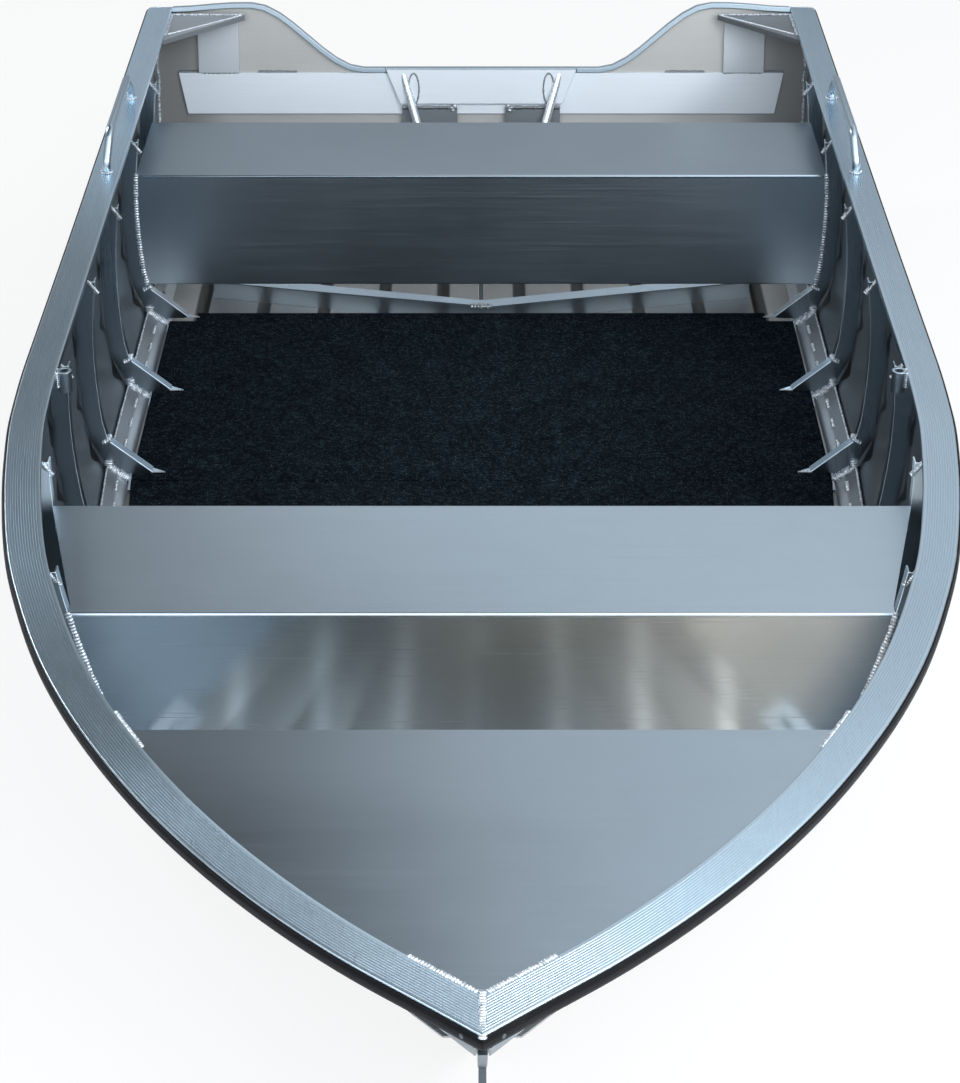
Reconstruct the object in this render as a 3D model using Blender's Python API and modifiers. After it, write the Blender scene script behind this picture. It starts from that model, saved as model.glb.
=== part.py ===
"""Open aluminium dinghy: a welded boat of pressed sheet with two thwarts, a foredeck,
a carpeted floor and an outboard transom.

Metres, +Z up. The bow points to -Y, +X is port. The origin lies on the centreline,
amidships, on the waterline of the boat afloat. Lengthwise places are given as s, the
distance aft of the bow's tip, and turned into Y by along().
"""
import math

import bmesh
import bpy
from mathutils import Matrix, Vector

for ob in list(bpy.data.objects):
    bpy.data.objects.remove(ob, do_unlink=True)

GAP = 0.0003            # between pieces that are welded or bolted face to face

# Hull
LENGTH = 3.78           # bow tip to the top of the transom
BEAM = 1.628            # over the gunwales, without the fender
DEPTH = 0.555           # keel to gunwale top amidships
DRAFT = 0.080           # keel below the water, boat empty
BOW_RISE = 0.060        # of the gunwale towards the bow
RISE_LENGTH = 1.60      # over which the gunwale rises
SHEET = 0.003           # hull sheet
TRANSOM_RAKE = math.radians(12)
TRANSOM_SHEET = 0.004

# Lines of the hull, as shares of LENGTH, of half the BEAM and of the depth at the bow
GUNWALE_LINE = [        # station, half breadth
    (0.0000, 0.000), (0.0132, 0.069), (0.0397, 0.209), (0.0661, 0.328), (0.0952, 0.440),
    (0.1270, 0.545), (0.1587, 0.634), (0.1931, 0.717), (0.2275, 0.786), (0.2646, 0.845),
    (0.3042, 0.897), (0.3439, 0.934), (0.3862, 0.964), (0.4339, 0.986), (0.4894, 0.993),
    (0.6085, 0.993), (0.7500, 0.995), (1.0000, 0.999)]
CHINE_LINE = [          # station, half breadth, height
    (0.0873, 0.000, 0.463), (0.0979, 0.050, 0.460), (0.1217, 0.138, 0.446),
    (0.1429, 0.206, 0.424), (0.1746, 0.312, 0.378), (0.2116, 0.440, 0.322),
    (0.2646, 0.602, 0.258), (0.3175, 0.722, 0.210), (0.3862, 0.815, 0.169),
    (0.4762, 0.878, 0.143), (0.6085, 0.915, 0.130), (1.0000, 0.915, 0.127)]
KEEL_LINE = [           # station, height
    (0.0000, 0.985), (0.0132, 0.900), (0.0397, 0.735), (0.0661, 0.585), (0.0873, 0.463),
    (0.1111, 0.335), (0.1376, 0.220), (0.1693, 0.122), (0.2116, 0.049), (0.2646, 0.010),
    (0.3042, 0.000), (1.0000, 0.000)]

SIDE_FULLNESS = 0.040   # how far the side swells beyond a straight line
STRAKE_COUNT = 3
STRAKE_DEPTH = 0.006
STRAKE_STEP = 0.05      # share of the side's height that the pressed step takes
CHINE_LIP = 0.012       # bottom sheet past the side sheet
FLUTE_COUNT = 5         # pressed flutes of the bottom; their shares are of its half width
FLUTE_FIRST_SHARE = 0.121
FLUTE_PITCH_SHARE = 0.185
FLUTE_WIDTH_SHARE = 0.048
FLUTE_DEPTH = 0.009
KEEL_WIDTH = 0.012
KEEL_OUT = 0.014        # keel bar below the sheet
KEEL_IN = 0.004         # keel bar above the sheet's outer face

# Gunwale and fender
RAIL_WIDTH = 0.058
RAIL_LIP = 0.010        # thickness of the flat top
RAIL_BOX = 0.020        # width of the outer box
RAIL_HEIGHT = 0.024
RAIL_ROUND = 0.002
SIDE_INSET = 0.0265     # side sheet inside the gunwale's outer edge
FENDER_OUT = 0.0055
FENDER_TOP = 0.003      # below the gunwale top
FENDER_HEIGHT = 0.019

# Side frames, knees and floor frames
FRAME_COUNT = 7
FRAME_PITCH = 0.362
FRAME_AFT = 0.446       # aftmost frame ahead of the transom top
FRAME_SHEET = 0.0025
FRAME_DEPTH = 0.032
FRAME_FLANGE = 0.024
FRAME_TOP = 0.035       # below the gunwale top
KNEE_HEIGHT = 0.075     # knee above the floor's top
KNEE_TOE = 0.041        # toe past the floor panel's edge
FLOOR_FRAME_WIDTH = 0.040
CHINE_STRIP = 0.045     # width of the bar across the chine
AFT_FRAME_AHEAD = 0.185  # low floor frame ahead of the aftmost side frame
AFT_FRAME_HEIGHT = 0.060
AFT_FRAME_SPAN = 0.62

# Floor
FLOOR_TOP = 0.100       # carpet's top above the keel
FLOOR_SHEET = 0.012
FLOOR_SIDE = 0.042      # floor panel's edge in from the chine
FLOOR_AFT = 0.030       # main panel behind side frame 1
FLOOR_JOINT = 0.030     # joint ahead of side frame 3
FLOOR_JOINT_GAP = 0.002
FLOOR_FORWARD = 0.035   # forward panel ahead of side frame 6
FLOOR_CORNER = 0.060    # aft corners cut away for the knees

# Thwarts
THWART_DROP = 0.110     # top below the gunwale top
THWART_SHEET = 0.003
THWART_FACE = 0.262     # height of the front face
THWART_LIP = 0.045      # aft edge folded down
THWART_RETURN = 0.018
THWART_AFT_WIDTH = 0.322
THWART_FORWARD_WIDTH = 0.346

# Foredeck
DECK_LENGTH = 0.682     # bow tip to the deck's aft edge
DECK_SHEET = 0.0025
DECK_FOLD = 0.022

# Transom
NOTCH_HALF = 0.290      # half width of the engine cut-out at its floor
NOTCH_DEPTH = 0.143
QUARTER_WIDTH = 0.252   # gunwale's outer edge to the foot of the S curve's crest
QUARTER_CROWN = 0.010   # rise of each quarter's top, inboard of the gunwale
QUARTER_RUN = 0.160     # over which it rises
CAP_WIDTH = 0.028
CAP_DEPTH = 0.012
CAP_SHEET = 0.003
GUSSET = 0.180
GUSSET_SHEET = 0.003
GUSSET_FOLD = 0.013
STIFFENER_SIDE = 0.119  # in from the gunwale's outer edge
STIFFENER_WIDTH = 0.100
STIFFENER_PROUD = 0.012
DOUBLER_SIDE = 0.069    # in from the gunwale's outer edge
DOUBLER_HEIGHT = 0.100
DOUBLER_PROUD = 0.008
DOUBLER_SLOPE = 0.020
PAD_HALF = 0.234
PAD_SLOPE = 0.035       # its ends slant in towards the bottom
PAD_HEIGHT = 0.084
PAD_PROUD = 0.010
OUTER_PAD_HEIGHT = 0.160
OUTER_PAD_THICK = 0.012
BRACE_RADIUS = 0.010
BRACE_TOP = 0.180       # from the centreline, on the pad
BRACE_DROP = 0.053      # below the cut-out's edge
BRACE_FOOT = 0.070      # from the centreline, at the bottom
BRACE_REACH = 0.225     # foot ahead of the transom top
BRACKET_IN = 0.059      # from the centreline
BRACKET_WIDTH = 0.135
BRACKET_HEIGHT = 0.055
BRACKET_DROP = 0.009    # below the pad
BRACKET_PROUD = 0.008

# Fittings
ROWLOCK_S = 1.800
ROWLOCK_RADIUS = 0.013
ROWLOCK_BORE = 0.0075
ROWLOCK_LENGTH = 0.040
HANDLE_S = 2.720        # forward foot
HANDLE_LENGTH = 0.433
HANDLE_RADIUS = 0.009
HANDLE_HEIGHT = 0.076
HANDLE_RUN = 0.039      # lengthwise, from the forward foot to the grip
HANDLE_RUN_AFT = 0.084
HANDLE_LEAN = 0.006     # grip inward from the feet
HANDLE_IN = 0.031       # foot in from the gunwale's outer edge
EYE_S = 0.230
EYE_THICK = 0.010
EYE_RADIUS = 0.017
EYE_BORE = 0.008
EYE_REACH = 0.024


def table(rows, column):
    """Smooth monotone curve through one column of a lines table."""
    xs = [row[0] for row in rows]
    ys = [row[column] for row in rows]
    rise = [(ys[i + 1] - ys[i]) / (xs[i + 1] - xs[i]) for i in range(len(xs) - 1)]
    slope = [rise[0]]
    for a, b in zip(rise, rise[1:]):
        slope.append(0.0 if a * b <= 0 else 2 * a * b / (a + b))
    slope.append(rise[-1])

    def at(x):
        x = min(max(x, xs[0]), xs[-1])
        i = 0
        while i < len(xs) - 2 and x > xs[i + 1]:
            i += 1
        h = xs[i + 1] - xs[i]
        t = (x - xs[i]) / h
        return ((2 * t ** 3 - 3 * t ** 2 + 1) * ys[i] + (t ** 3 - 2 * t ** 2 + t) * h * slope[i]
                + (3 * t ** 2 - 2 * t ** 3) * ys[i + 1] + (t ** 3 - t ** 2) * h * slope[i + 1])
    return at


gunwale_share = table(GUNWALE_LINE, 1)
chine_share = table(CHINE_LINE, 1)
chine_height = table(CHINE_LINE, 2)
keel_height = table(KEEL_LINE, 1)
BOW_DEPTH = DEPTH + BOW_RISE
CHINE_START = CHINE_LINE[0][0] * LENGTH


def along(s):
    return s - LENGTH / 2


def smooth(t):
    t = min(max(t, 0.0), 1.0)
    return t * t * (3 - 2 * t)


def sheer(s):
    """Height of the gunwale's top."""
    return DEPTH - DRAFT + BOW_RISE * max(0.0, 1 - s / RISE_LENGTH) ** 2


def rail(s):
    """Half breadth at the gunwale's outer edge, straight on past the bow's tip."""
    if s < 0:
        return s * rail(0.01) / 0.01
    return BEAM / 2 * gunwale_share(s / LENGTH)


def rail_slope(s):
    return (rail(s + 0.004) - rail(s - 0.004)) / 0.008


def keel(s):
    """Height of the sheet's outer face at the keel and stem."""
    return -DRAFT + BOW_DEPTH * keel_height(s / LENGTH)


def chine_x(s):
    edge = KEEL_WIDTH / 2 + 1.6 * SHEET + GAP
    return max(edge, BEAM / 2 * chine_share(s / LENGTH))


def chine_z(s):
    if s < CHINE_START:
        return keel(s)
    return max(keel(s), -DRAFT + BOW_DEPTH * chine_height(s / LENGTH))


def bottom_z(s, x):
    """Outer face of the bottom sheet, without its flutes."""
    zk, zc = keel(s), chine_z(s)
    return zk + (zc - zk) * min(x / chine_x(s), 1.0)


def side_low(s):
    """Lower edge of the side sheet."""
    z = chine_z(s)
    return z if s < CHINE_START else z + SHEET + 2 * GAP


def side_top(s):
    return sheer(s) - RAIL_LIP - 2.5 * GAP


def side_x(s, z):
    """Outer face of the side sheet, without its strakes."""
    low, top = side_low(s), side_top(s)
    w = min(max((z - low) / (top - low), 0.0), 1.0)
    x_top = rail(s) - SIDE_INSET * math.hypot(1, rail_slope(s))
    swell = 1 - (1 - w / 0.3) ** 2 if w < 0.3 else 1 - ((w - 0.3) / 0.7) ** 2.2
    full = SIDE_FULLNESS * smooth((s - 0.1 * LENGTH) / (0.32 * LENGTH))
    return chine_x(s) + (x_top - chine_x(s)) * w + full * swell


def side_lean(s, z):
    """Length of the side's normal for one unit across the boat."""
    ds = (side_x(s + 0.005, z) - side_x(s - 0.005, z)) / 0.01
    dz = (side_x(s, z + 0.005) - side_x(s, z - 0.005)) / 0.01
    return math.sqrt(1 + ds * ds + dz * dz)


def side_in(s, z):
    """Inner face of the side sheet, clear of it."""
    return side_x(s, z) - (1.3 * SHEET + GAP) * side_lean(s, z)


def frame_out(s, z):
    """Where a side frame's outer edge meets the crests of the strakes."""
    return side_x(s, z) - (SHEET + STRAKE_DEPTH + GAP) * side_lean(s, z)


def frame_in(s, z):
    return frame_out(s, z) - FRAME_DEPTH


def transom_s(z):
    """Forward face of the raked transom."""
    return LENGTH - (sheer(LENGTH) - z) * math.tan(TRANSOM_RAKE)


def frame_s(k):
    """Forward face of side frame k, counted from the stern."""
    return LENGTH - FRAME_AFT - FRAME_PITCH * k


def stations(first, last):
    """Sections of the hull: close at the bow, wide where it runs straight."""
    shares = (0.016, 0.027, 0.042, 0.063, 0.0873, 0.097, 0.111, 0.138, 0.169, 0.228, 0.268,
              0.354, 0.45)
    rows = [a * LENGTH for a in shares] + [frame_s(k) for k in range(FRAME_COUNT)]
    rows += [DECK_LENGTH, ROWLOCK_S]
    rows = sorted(r for r in rows if first + 0.02 < r < last - 0.02)
    return [first] + rows + [last]


# Materials: name, colour, roughness, metallic
LOOKS = {
    "brushed aluminium": ((0.60, 0.65, 0.70), 0.32, 1.0),
    "sheet aluminium": ((0.46, 0.50, 0.54), 0.38, 1.0),
    "bright aluminium": ((0.74, 0.77, 0.80), 0.22, 1.0),
    "black rubber": ((0.015, 0.015, 0.017), 0.65, 0.0),
    "navy carpet": ((0.012, 0.018, 0.030), 0.95, 0.0),
}
materials = {}
for label, (colour, rough, metal) in LOOKS.items():
    m = bpy.data.materials.new(label)
    m.use_nodes = True
    shader = m.node_tree.nodes["Principled BSDF"]
    shader.inputs["Base Color"].default_value = (*colour, 1)
    shader.inputs["Roughness"].default_value = rough
    shader.inputs["Metallic"].default_value = metal
    materials[label] = m

boat = bpy.data.collections.new("aluminium_dinghy")
cutters = bpy.data.collections.new("cutters")
for c in (boat, cutters):
    bpy.context.scene.collection.children.link(c)


def add(name, mesh, look):
    ob = bpy.data.objects.new(name, mesh)
    mesh.materials.clear()
    mesh.materials.append(materials[look])
    boat.objects.link(ob)
    return ob


def from_bmesh(name, bm, look, smooth_angle=None):
    bmesh.ops.recalc_face_normals(bm, faces=bm.faces)
    mesh = bpy.data.meshes.new(name)
    bm.to_mesh(mesh)
    bm.free()
    if smooth_angle:
        mesh.shade_smooth()
        mesh.set_sharp_from_angle(angle=math.radians(smooth_angle))
    return add(name, mesh, look)


def grid(rows):
    """Open surface through rows of points."""
    bm = bmesh.new()
    lines = [[bm.verts.new(p) for p in row] for row in rows]
    for a, b in zip(lines, lines[1:]):
        for i in range(len(a) - 1):
            bm.faces.new((a[i], a[i + 1], b[i + 1], b[i]))
    return bm


def loft(rings):
    """Closed body through rings of points, flat at both ends."""
    bm = bmesh.new()
    lines = [[bm.verts.new(p) for p in ring] for ring in rings]
    for a, b in zip(lines, lines[1:]):
        for i in range(len(a)):
            j = (i + 1) % len(a)
            bm.faces.new((a[i], a[j], b[j], b[i]))
    bm.faces.new(lines[0])
    bm.faces.new(lines[-1])
    return bm


def thicken(ob, thickness, towards):
    """Solidify an open surface to the side on which the point lies."""
    mesh = ob.data
    face = max(mesh.polygons, key=lambda f: f.area)
    inside = (Vector(towards) - face.center).dot(face.normal) > 0
    mod = ob.modifiers.new("sheet", "SOLIDIFY")
    mod.thickness = thickness
    mod.offset = 1 if inside else -1
    mod.use_even_offset = True
    return ob


def trim_at_centre(bm):
    """Mitre on the centreline: keep the port side."""
    geom = bm.verts[:] + bm.edges[:] + bm.faces[:]
    bmesh.ops.bisect_plane(bm, geom=geom, plane_co=(GAP / 2, 0, 0), plane_no=(-1, 0, 0),
                           clear_outer=True)
    rim = [e for e in bm.edges if e.is_boundary]
    bmesh.ops.contextual_create(bm, geom=rim)


def baked(ob):
    """Object whose mesh is its evaluated shape in world space."""
    bpy.context.view_layer.update()
    shown = ob.evaluated_get(bpy.context.evaluated_depsgraph_get())
    mesh = bpy.data.meshes.new_from_object(shown)
    mesh.transform(ob.matrix_world)
    bm = bmesh.new()
    bm.from_mesh(mesh)
    bmesh.ops.remove_doubles(bm, verts=bm.verts, dist=1e-5)
    bm.to_mesh(mesh)
    bm.free()
    name = ob.name
    look = ob.data.materials[0]
    bpy.data.objects.remove(ob, do_unlink=True)
    new = bpy.data.objects.new(name, mesh)
    mesh.materials.clear()
    mesh.materials.append(look)
    boat.objects.link(new)
    return new


def starboard(ob, name):
    """The same piece on the other side."""
    ob = baked(ob)
    mesh = ob.data.copy()
    mesh.transform(Matrix.Scale(-1, 4, (1, 0, 0)))
    mesh.flip_normals()
    return ob, add(name, mesh, ob.data.materials[0].name)


def plate(name, outline, thickness, look, place):
    """Flat plate: an outline in the local XY plane, thick about it along local Z."""
    curve = bpy.data.curves.new(name, "CURVE")
    curve.dimensions = "2D"
    curve.fill_mode = "BOTH"
    curve.extrude = thickness / 2
    for loop in (outline if isinstance(outline[0], list) else [outline]):
        line = curve.splines.new("POLY")
        line.points.add(len(loop) - 1)
        line.use_cyclic_u = True
        for point, (x, y) in zip(line.points, loop):
            point.co = (x, y, 0, 1)
    curve.materials.append(materials[look])
    ob = bpy.data.objects.new(name, curve)
    ob.matrix_world = place
    boat.objects.link(ob)
    return baked(ob)


def upright(s):
    """Transverse plane at s: local x across, local y up, local z forward."""
    return Matrix.Translation((0, along(s), 0)) @ Matrix.Rotation(math.pi / 2, 4, "X")


def join(ob, other, operation="UNION"):
    """Boolean of two solids, kept under the first one's name."""
    mod = ob.modifiers.new("join", "BOOLEAN")
    mod.operation = operation
    mod.solver = "EXACT"
    mod.object = other
    done = baked(ob)
    bpy.data.objects.remove(other, do_unlink=True)
    return done


def rod(name, points, radius, look, resolution=2):
    curve = bpy.data.curves.new(name, "CURVE")
    curve.dimensions = "3D"
    curve.bevel_depth = radius
    curve.bevel_resolution = resolution
    curve.use_fill_caps = True
    line = curve.splines.new("POLY")
    line.points.add(len(points) - 1)
    for point, co in zip(line.points, points):
        point.co = (*co, 1)
    curve.materials.append(materials[look])
    ob = bpy.data.objects.new(name, curve)
    boat.objects.link(ob)
    ob = baked(ob)
    ob.data.shade_smooth()
    ob.data.set_sharp_from_angle(angle=math.radians(50))
    return ob


def rounded(points, radius, steps=5):
    """Polyline with its inner corners turned into arcs."""
    out = [Vector(points[0])]
    for a, b, c in zip(points, points[1:], points[2:]):
        a, b, c = Vector(a), Vector(b), Vector(c)
        u, v = (a - b).normalized(), (c - b).normalized()
        half = u.angle(v) / 2
        cut = min(radius / math.tan(half), 0.45 * min((a - b).length, (c - b).length))
        turn = cut * math.tan(half)
        middle = b + (u + v).normalized() * (turn / math.sin(half))
        start, end = b + u * cut - middle, b + v * cut - middle
        for i in range(steps + 1):
            t = i / steps
            out.append(middle + (start * (1 - t) + end * t).normalized() * turn)
    out.append(Vector(points[-1]))
    return out


def section_point(s, x, z):
    """Point of a section; the last section lies against the raked transom."""
    return (x, along(s if s < LENGTH else transom_s(z) - GAP), z)


# Bottom: a V with pressed flutes, and a lip past the side sheet
def bottom_sections():
    marks = [(0.0, 0)]
    for i in range(FLUTE_COUNT):
        mid, half = FLUTE_FIRST_SHARE + FLUTE_PITCH_SHARE * i, FLUTE_WIDTH_SHARE / 2
        marks += [(mid - half, 0), (mid - half / 2, 1), (mid + half / 2, 1), (mid + half, 0)]
    marks.append((1.0, 0))
    first = CHINE_START + 0.04
    inner = KEEL_WIDTH / 2 + GAP
    rings = []
    for s in stations(first, LENGTH):
        fade = FLUTE_DEPTH * smooth((s - first) / 0.45)
        line = []
        for mark, press in marks:
            x = inner + (chine_x(s) - inner) * mark
            line.append((x, bottom_z(s, x) - press * fade))
        line.append((line[-1][0] + CHINE_LIP, line[-1][1]))
        rings.append([section_point(s, x, z) for x, z in line]
                     + [section_point(s, x, z + SHEET) for x, z in line[::-1]])
    return rings


ob = from_bmesh("hull_bottom_port", loft(bottom_sections()), "sheet aluminium", 25)
starboard(ob, "hull_bottom_starboard")


# Sides: swelling sheets with pressed strakes, level along their top edge
def side_sections():
    shares = [(0.0, 0.0), (0.045, 0.1)]
    for i in range(STRAKE_COUNT):
        a, b = i / STRAKE_COUNT, (i + 1) / STRAKE_COUNT
        if i:
            shares.append((a + STRAKE_STEP, 0.0))
        last = i == STRAKE_COUNT - 1
        shares += [((a + b) / 2, 0.45), (0.25 * a + 0.75 * b, 0.3 if last else 0.7),
                   (b, 0.0 if last else 1.0)]
    rings = []
    for s in stations(LENGTH * 0.016, LENGTH):
        fade = STRAKE_DEPTH * smooth((s - 0.1) / 0.6)
        low, top = side_low(s), side_top(s)
        outer, inner = [], []
        for share, press in shares:
            z = low + (top - low) * share
            at = s if s < LENGTH else transom_s(z) - GAP
            x = side_x(at, z) - fade * press
            outer.append(section_point(s, x, z))
            inner.append(section_point(s, x - SHEET * side_lean(at, z), z))
        rings.append(outer + inner[::-1])
    return rings


ob = from_bmesh("hull_side_port", loft(side_sections()), "sheet aluminium", 25)
starboard(ob, "hull_side_starboard")


# Keel bar, turning up into the stem
def below(line, z):
    """The line cut off level at a height, from its first end."""
    for i, (a, b) in enumerate(zip(line, line[1:])):
        if a[1] > z >= b[1]:
            t = (a[1] - z) / (a[1] - b[1])
            return [(a[0] + (b[0] - a[0]) * t, z)] + line[i + 1:]
    return line


def keel_outline():
    last = transom_s(-DRAFT) - GAP
    outer, inner = [], []
    for s in [0.002 * LENGTH, 0.008 * LENGTH] + stations(LENGTH * 0.016, last):
        slope = (keel(s + 0.005) - keel(s - 0.005)) / 0.01
        size = math.hypot(1, slope)
        normal = (slope / size, -1 / size)
        outer.append((along(s + normal[0] * KEEL_OUT), keel(s) + normal[1] * KEEL_OUT))
        inner.append((along(s - normal[0] * KEEL_IN), keel(s) - normal[1] * KEEL_IN))
    end = along(last)
    outer[-1], inner[-1] = (end, outer[-1][1]), (end, inner[-1][1])
    under = sheer(0.03) - RAIL_HEIGHT - GAP
    return below(outer, under) + below(inner, under)[::-1]


LENGTHWISE = Matrix(((0, 0, 1, 0), (1, 0, 0, 0), (0, 1, 0, 0), (0, 0, 0, 1)))
plate("keel_and_stem", keel_outline(), KEEL_WIDTH, "sheet aluminium", LENGTHWISE)


# Gunwales and fender: profiles swept along the sheer and mitred at the bow
def sweep_rail(name, profile, look, angle):
    """Profile points are (outwards, up) from the gunwale's outer top edge."""
    rings = []
    for s in [-0.14] + stations(LENGTH * 0.016, LENGTH):
        slope = rail_slope(max(s, 0.0))
        size = math.hypot(1, slope)
        ring = []
        for out, up in profile:
            x, at = rail(s) + out / size, s - out * slope / size
            z = sheer(at) + up
            if s == LENGTH:
                at = transom_s(z) - GAP
            ring.append((x, along(at), z))
        rings.append(ring)
    bm = loft(rings)
    trim_at_centre(bm)
    return from_bmesh(name, bm, look, angle)


r = RAIL_ROUND
ob = sweep_rail("gunwale_port", [
    (-r, 0), (0, -r), (0, -RAIL_HEIGHT), (-RAIL_BOX, -RAIL_HEIGHT), (-RAIL_BOX, -RAIL_LIP),
    (-RAIL_WIDTH, -RAIL_LIP), (-RAIL_WIDTH, -r), (-RAIL_WIDTH + r, 0)],
    "brushed aluminium", 30)
starboard(ob, "gunwale_starboard")
top, low = -FENDER_TOP, -FENDER_TOP - FENDER_HEIGHT
ob = sweep_rail("fender_port", [
    (GAP, top), (0.6 * FENDER_OUT, top), (FENDER_OUT, top - 0.3 * FENDER_HEIGHT),
    (FENDER_OUT, top - 0.7 * FENDER_HEIGHT), (0.6 * FENDER_OUT, low), (GAP, low)],
    "black rubber", 60)
starboard(ob, "fender_starboard")


# Foredeck: follows the sheer under the gunwale's lip, aft edge folded down
def deck_rows():
    rows = []
    for s in stations(LENGTH * 0.027, DECK_LENGTH):
        z = sheer(s) - RAIL_LIP - 2.5 * GAP
        x = side_in(s, z - 0.01)
        rows.append([(x, along(s), z), (x / 2, along(s), z), (0, along(s), z)])
    z -= DECK_FOLD
    x = side_in(DECK_LENGTH, z - 0.01) - STRAKE_DEPTH
    rows.append([(x, along(s), z), (x / 2, along(s), z), (0, along(s), z)])
    return rows


ob = from_bmesh("foredeck", grid(deck_rows()), "brushed aluminium", 30)
mirror = ob.modifiers.new("mirror", "MIRROR")
mirror.merge_threshold = 0.0001
thicken(ob, DECK_SHEET, (0, -0.5, -5))


# Heights and widths that the inner pieces share
def floor_z():
    return -DRAFT + FLOOR_TOP


def reach_x(s, z):
    """How far out the bottom's inner face stays below a height."""
    return chine_x(s) * (z - SHEET - keel(s)) / (chine_z(s) - keel(s))


def floor_x(s):
    """Half width of the floor: short of the chine, or of the rising bottom."""
    return min(chine_x(s) - FLOOR_SIDE, reach_x(s, floor_z() - FLOOR_SHEET - 2 * FRAME_SHEET))


def bar_section(s, clear=0.0):
    """Chine bar's section: on the bottom, on the side, then its inner face."""
    share = CHINE_STRIP / math.sqrt(2)
    z_up = side_low(s) + share
    x_in = chine_x(s) - share
    low = Vector((x_in, bottom_z(s, x_in) + SHEET + 4 * GAP))
    up = Vector((frame_out(s, z_up), z_up))
    across = (up - low).normalized()
    n = Vector((-across.y, across.x))
    return low, up, up + n * (SHEET + clear), low + n * (SHEET + clear)


def knee_top(s):
    return max(floor_z() + KNEE_HEIGHT, bar_section(s, 3 * GAP)[2].y + 0.02)


def frame_heights(s):
    low, top = knee_top(s), sheer(s) - FRAME_TOP
    return [low + (top - low) * i / 8 for i in range(9)]


def frame_edge(s, z):
    """Inner edge of a side frame as it is built, straight from height to height."""
    rows = frame_heights(s)
    i = min(max(int((z - rows[0]) / (rows[1] - rows[0])), 0), 7)
    t = (z - rows[i]) / (rows[1] - rows[0])
    return frame_in(s, rows[i]) * (1 - t) + frame_in(s, rows[i + 1]) * t


# Thwarts: one folded sheet each, its ends on the side frames
def thwart(name, k, width):
    """Front face in the plane of side frame k, top running aft."""
    s0, top = frame_s(k), sheer(frame_s(k)) - THWART_DROP
    low = max(top - THWART_FACE, knee_top(s0) + 3 * GAP)
    past = s0 + FRAME_FLANGE + 2 * GAP
    marks = [z for z in frame_heights(s0) if low + 0.01 < z < top - 0.01]
    path = [(s0 + THWART_RETURN, low)] + [(s0, z) for z in [low] + marks + [top]]
    path += [(past, top), (s0 + width, top), (s0 + width, top - THWART_LIP),
             (s0 + width - THWART_RETURN, top - THWART_LIP)]
    rows = []
    for s, z in path:
        x = min(frame_edge(s0 if s <= past else s, z), frame_edge(s, z)) - 2 * GAP
        rows.append([(x, along(s), z), (0, along(s), z)])
    ob = from_bmesh(name, grid(rows), "brushed aluminium", 30)
    mirror = ob.modifiers.new("mirror", "MIRROR")
    mirror.merge_threshold = 0.0001
    thicken(ob, THWART_SHEET, (0, along(s0 + width / 2), low))
    return ob


thwart("thwart_aft", 1, THWART_AFT_WIDTH)
thwart("thwart_forward", 6, THWART_FORWARD_WIDTH)


# Side frames with their knees: a curved web, folded aft along its inner edge
def offset_line(line, distance):
    """The line moved outwards by a distance, mitred at its points."""
    out = []
    for i, p in enumerate(line):
        a = Vector(line[max(i - 1, 0)])
        b = Vector(line[min(i + 1, len(line) - 1)])
        p = Vector(p)
        u = (p - a).normalized() if i else (b - p).normalized()
        v = (b - p).normalized() if i < len(line) - 1 else u
        n = Vector((-u.y, u.x)) + Vector((-v.y, v.x))
        n = n.normalized() / max(n.length / 2, 0.4)
        out.append(tuple(p + n * distance))
    return out


def folded(outer, inner, s, sheet, width, look, name, forward=False):
    """Sheet in the plane s between two lines, folded fore or aft along the inner line."""
    back = offset_line(inner, -sheet)
    side = -1 if forward else 1
    rings = []
    for o, i, b in zip(outer, inner, back):
        rings.append([(o[0], along(s), o[1]), (i[0], along(s), i[1]),
                      (i[0], along(s + side * width), i[1]),
                      (b[0], along(s + side * width), b[1]),
                      (b[0], along(s + side * sheet), b[1]),
                      (o[0], along(s + side * sheet), o[1])])
    return from_bmesh(name, loft(rings), look, 30)


def side_frame(k):
    s = frame_s(k)
    low, up = bar_section(s, 3 * GAP)[:1:-1]
    knee = knee_top(s)
    rest = max(floor_z() + GAP, bottom_z(s, floor_x(s)) + SHEET + 0.004)
    edge = floor_x(s) + 0.004
    base = min(bottom_z(s, edge) + SHEET + 3 * GAP, rest - GAP)
    toe = Vector((floor_x(s) - KNEE_TOE, rest + 1.2 * FRAME_SHEET))
    bend = Vector((frame_in(s, knee), knee))
    outer = [(toe.x + 4 * FRAME_SHEET, rest), (edge, rest), (edge, base), low, up]
    inner = [tuple(toe.lerp(bend, t)) for t in (0.0, 0.35, 0.45, 0.75, 1.0)]
    for z in frame_heights(s):
        outer.append((frame_out(s, z), z))
        inner.append((frame_in(s, z), max(z, knee + GAP)))
    ob = folded(outer, inner, s, FRAME_SHEET, FRAME_FLANGE, "sheet aluminium",
                f"side_frame_port_{k}")
    starboard(ob, f"side_frame_starboard_{k}")


for k in range(FRAME_COUNT):
    side_frame(k)


# Chine bars inside, across the joint of side and bottom
def chine_bar():
    rings = []
    rows = stations(LENGTH * 0.016, LENGTH)
    ahead = max(s for s in rows if s < frame_s(FRAME_COUNT - 1) - FLOOR_FRAME_WIDTH)
    for s in rows[rows.index(ahead):]:
        at = s if s < LENGTH else transom_s(chine_z(s)) - 0.008
        rings.append([(p.x, along(at), p.y) for p in bar_section(at)])
    return loft(rings)


ob = from_bmesh("chine_bar_port", chine_bar(), "bright aluminium")
starboard(ob, "chine_bar_starboard")


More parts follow.
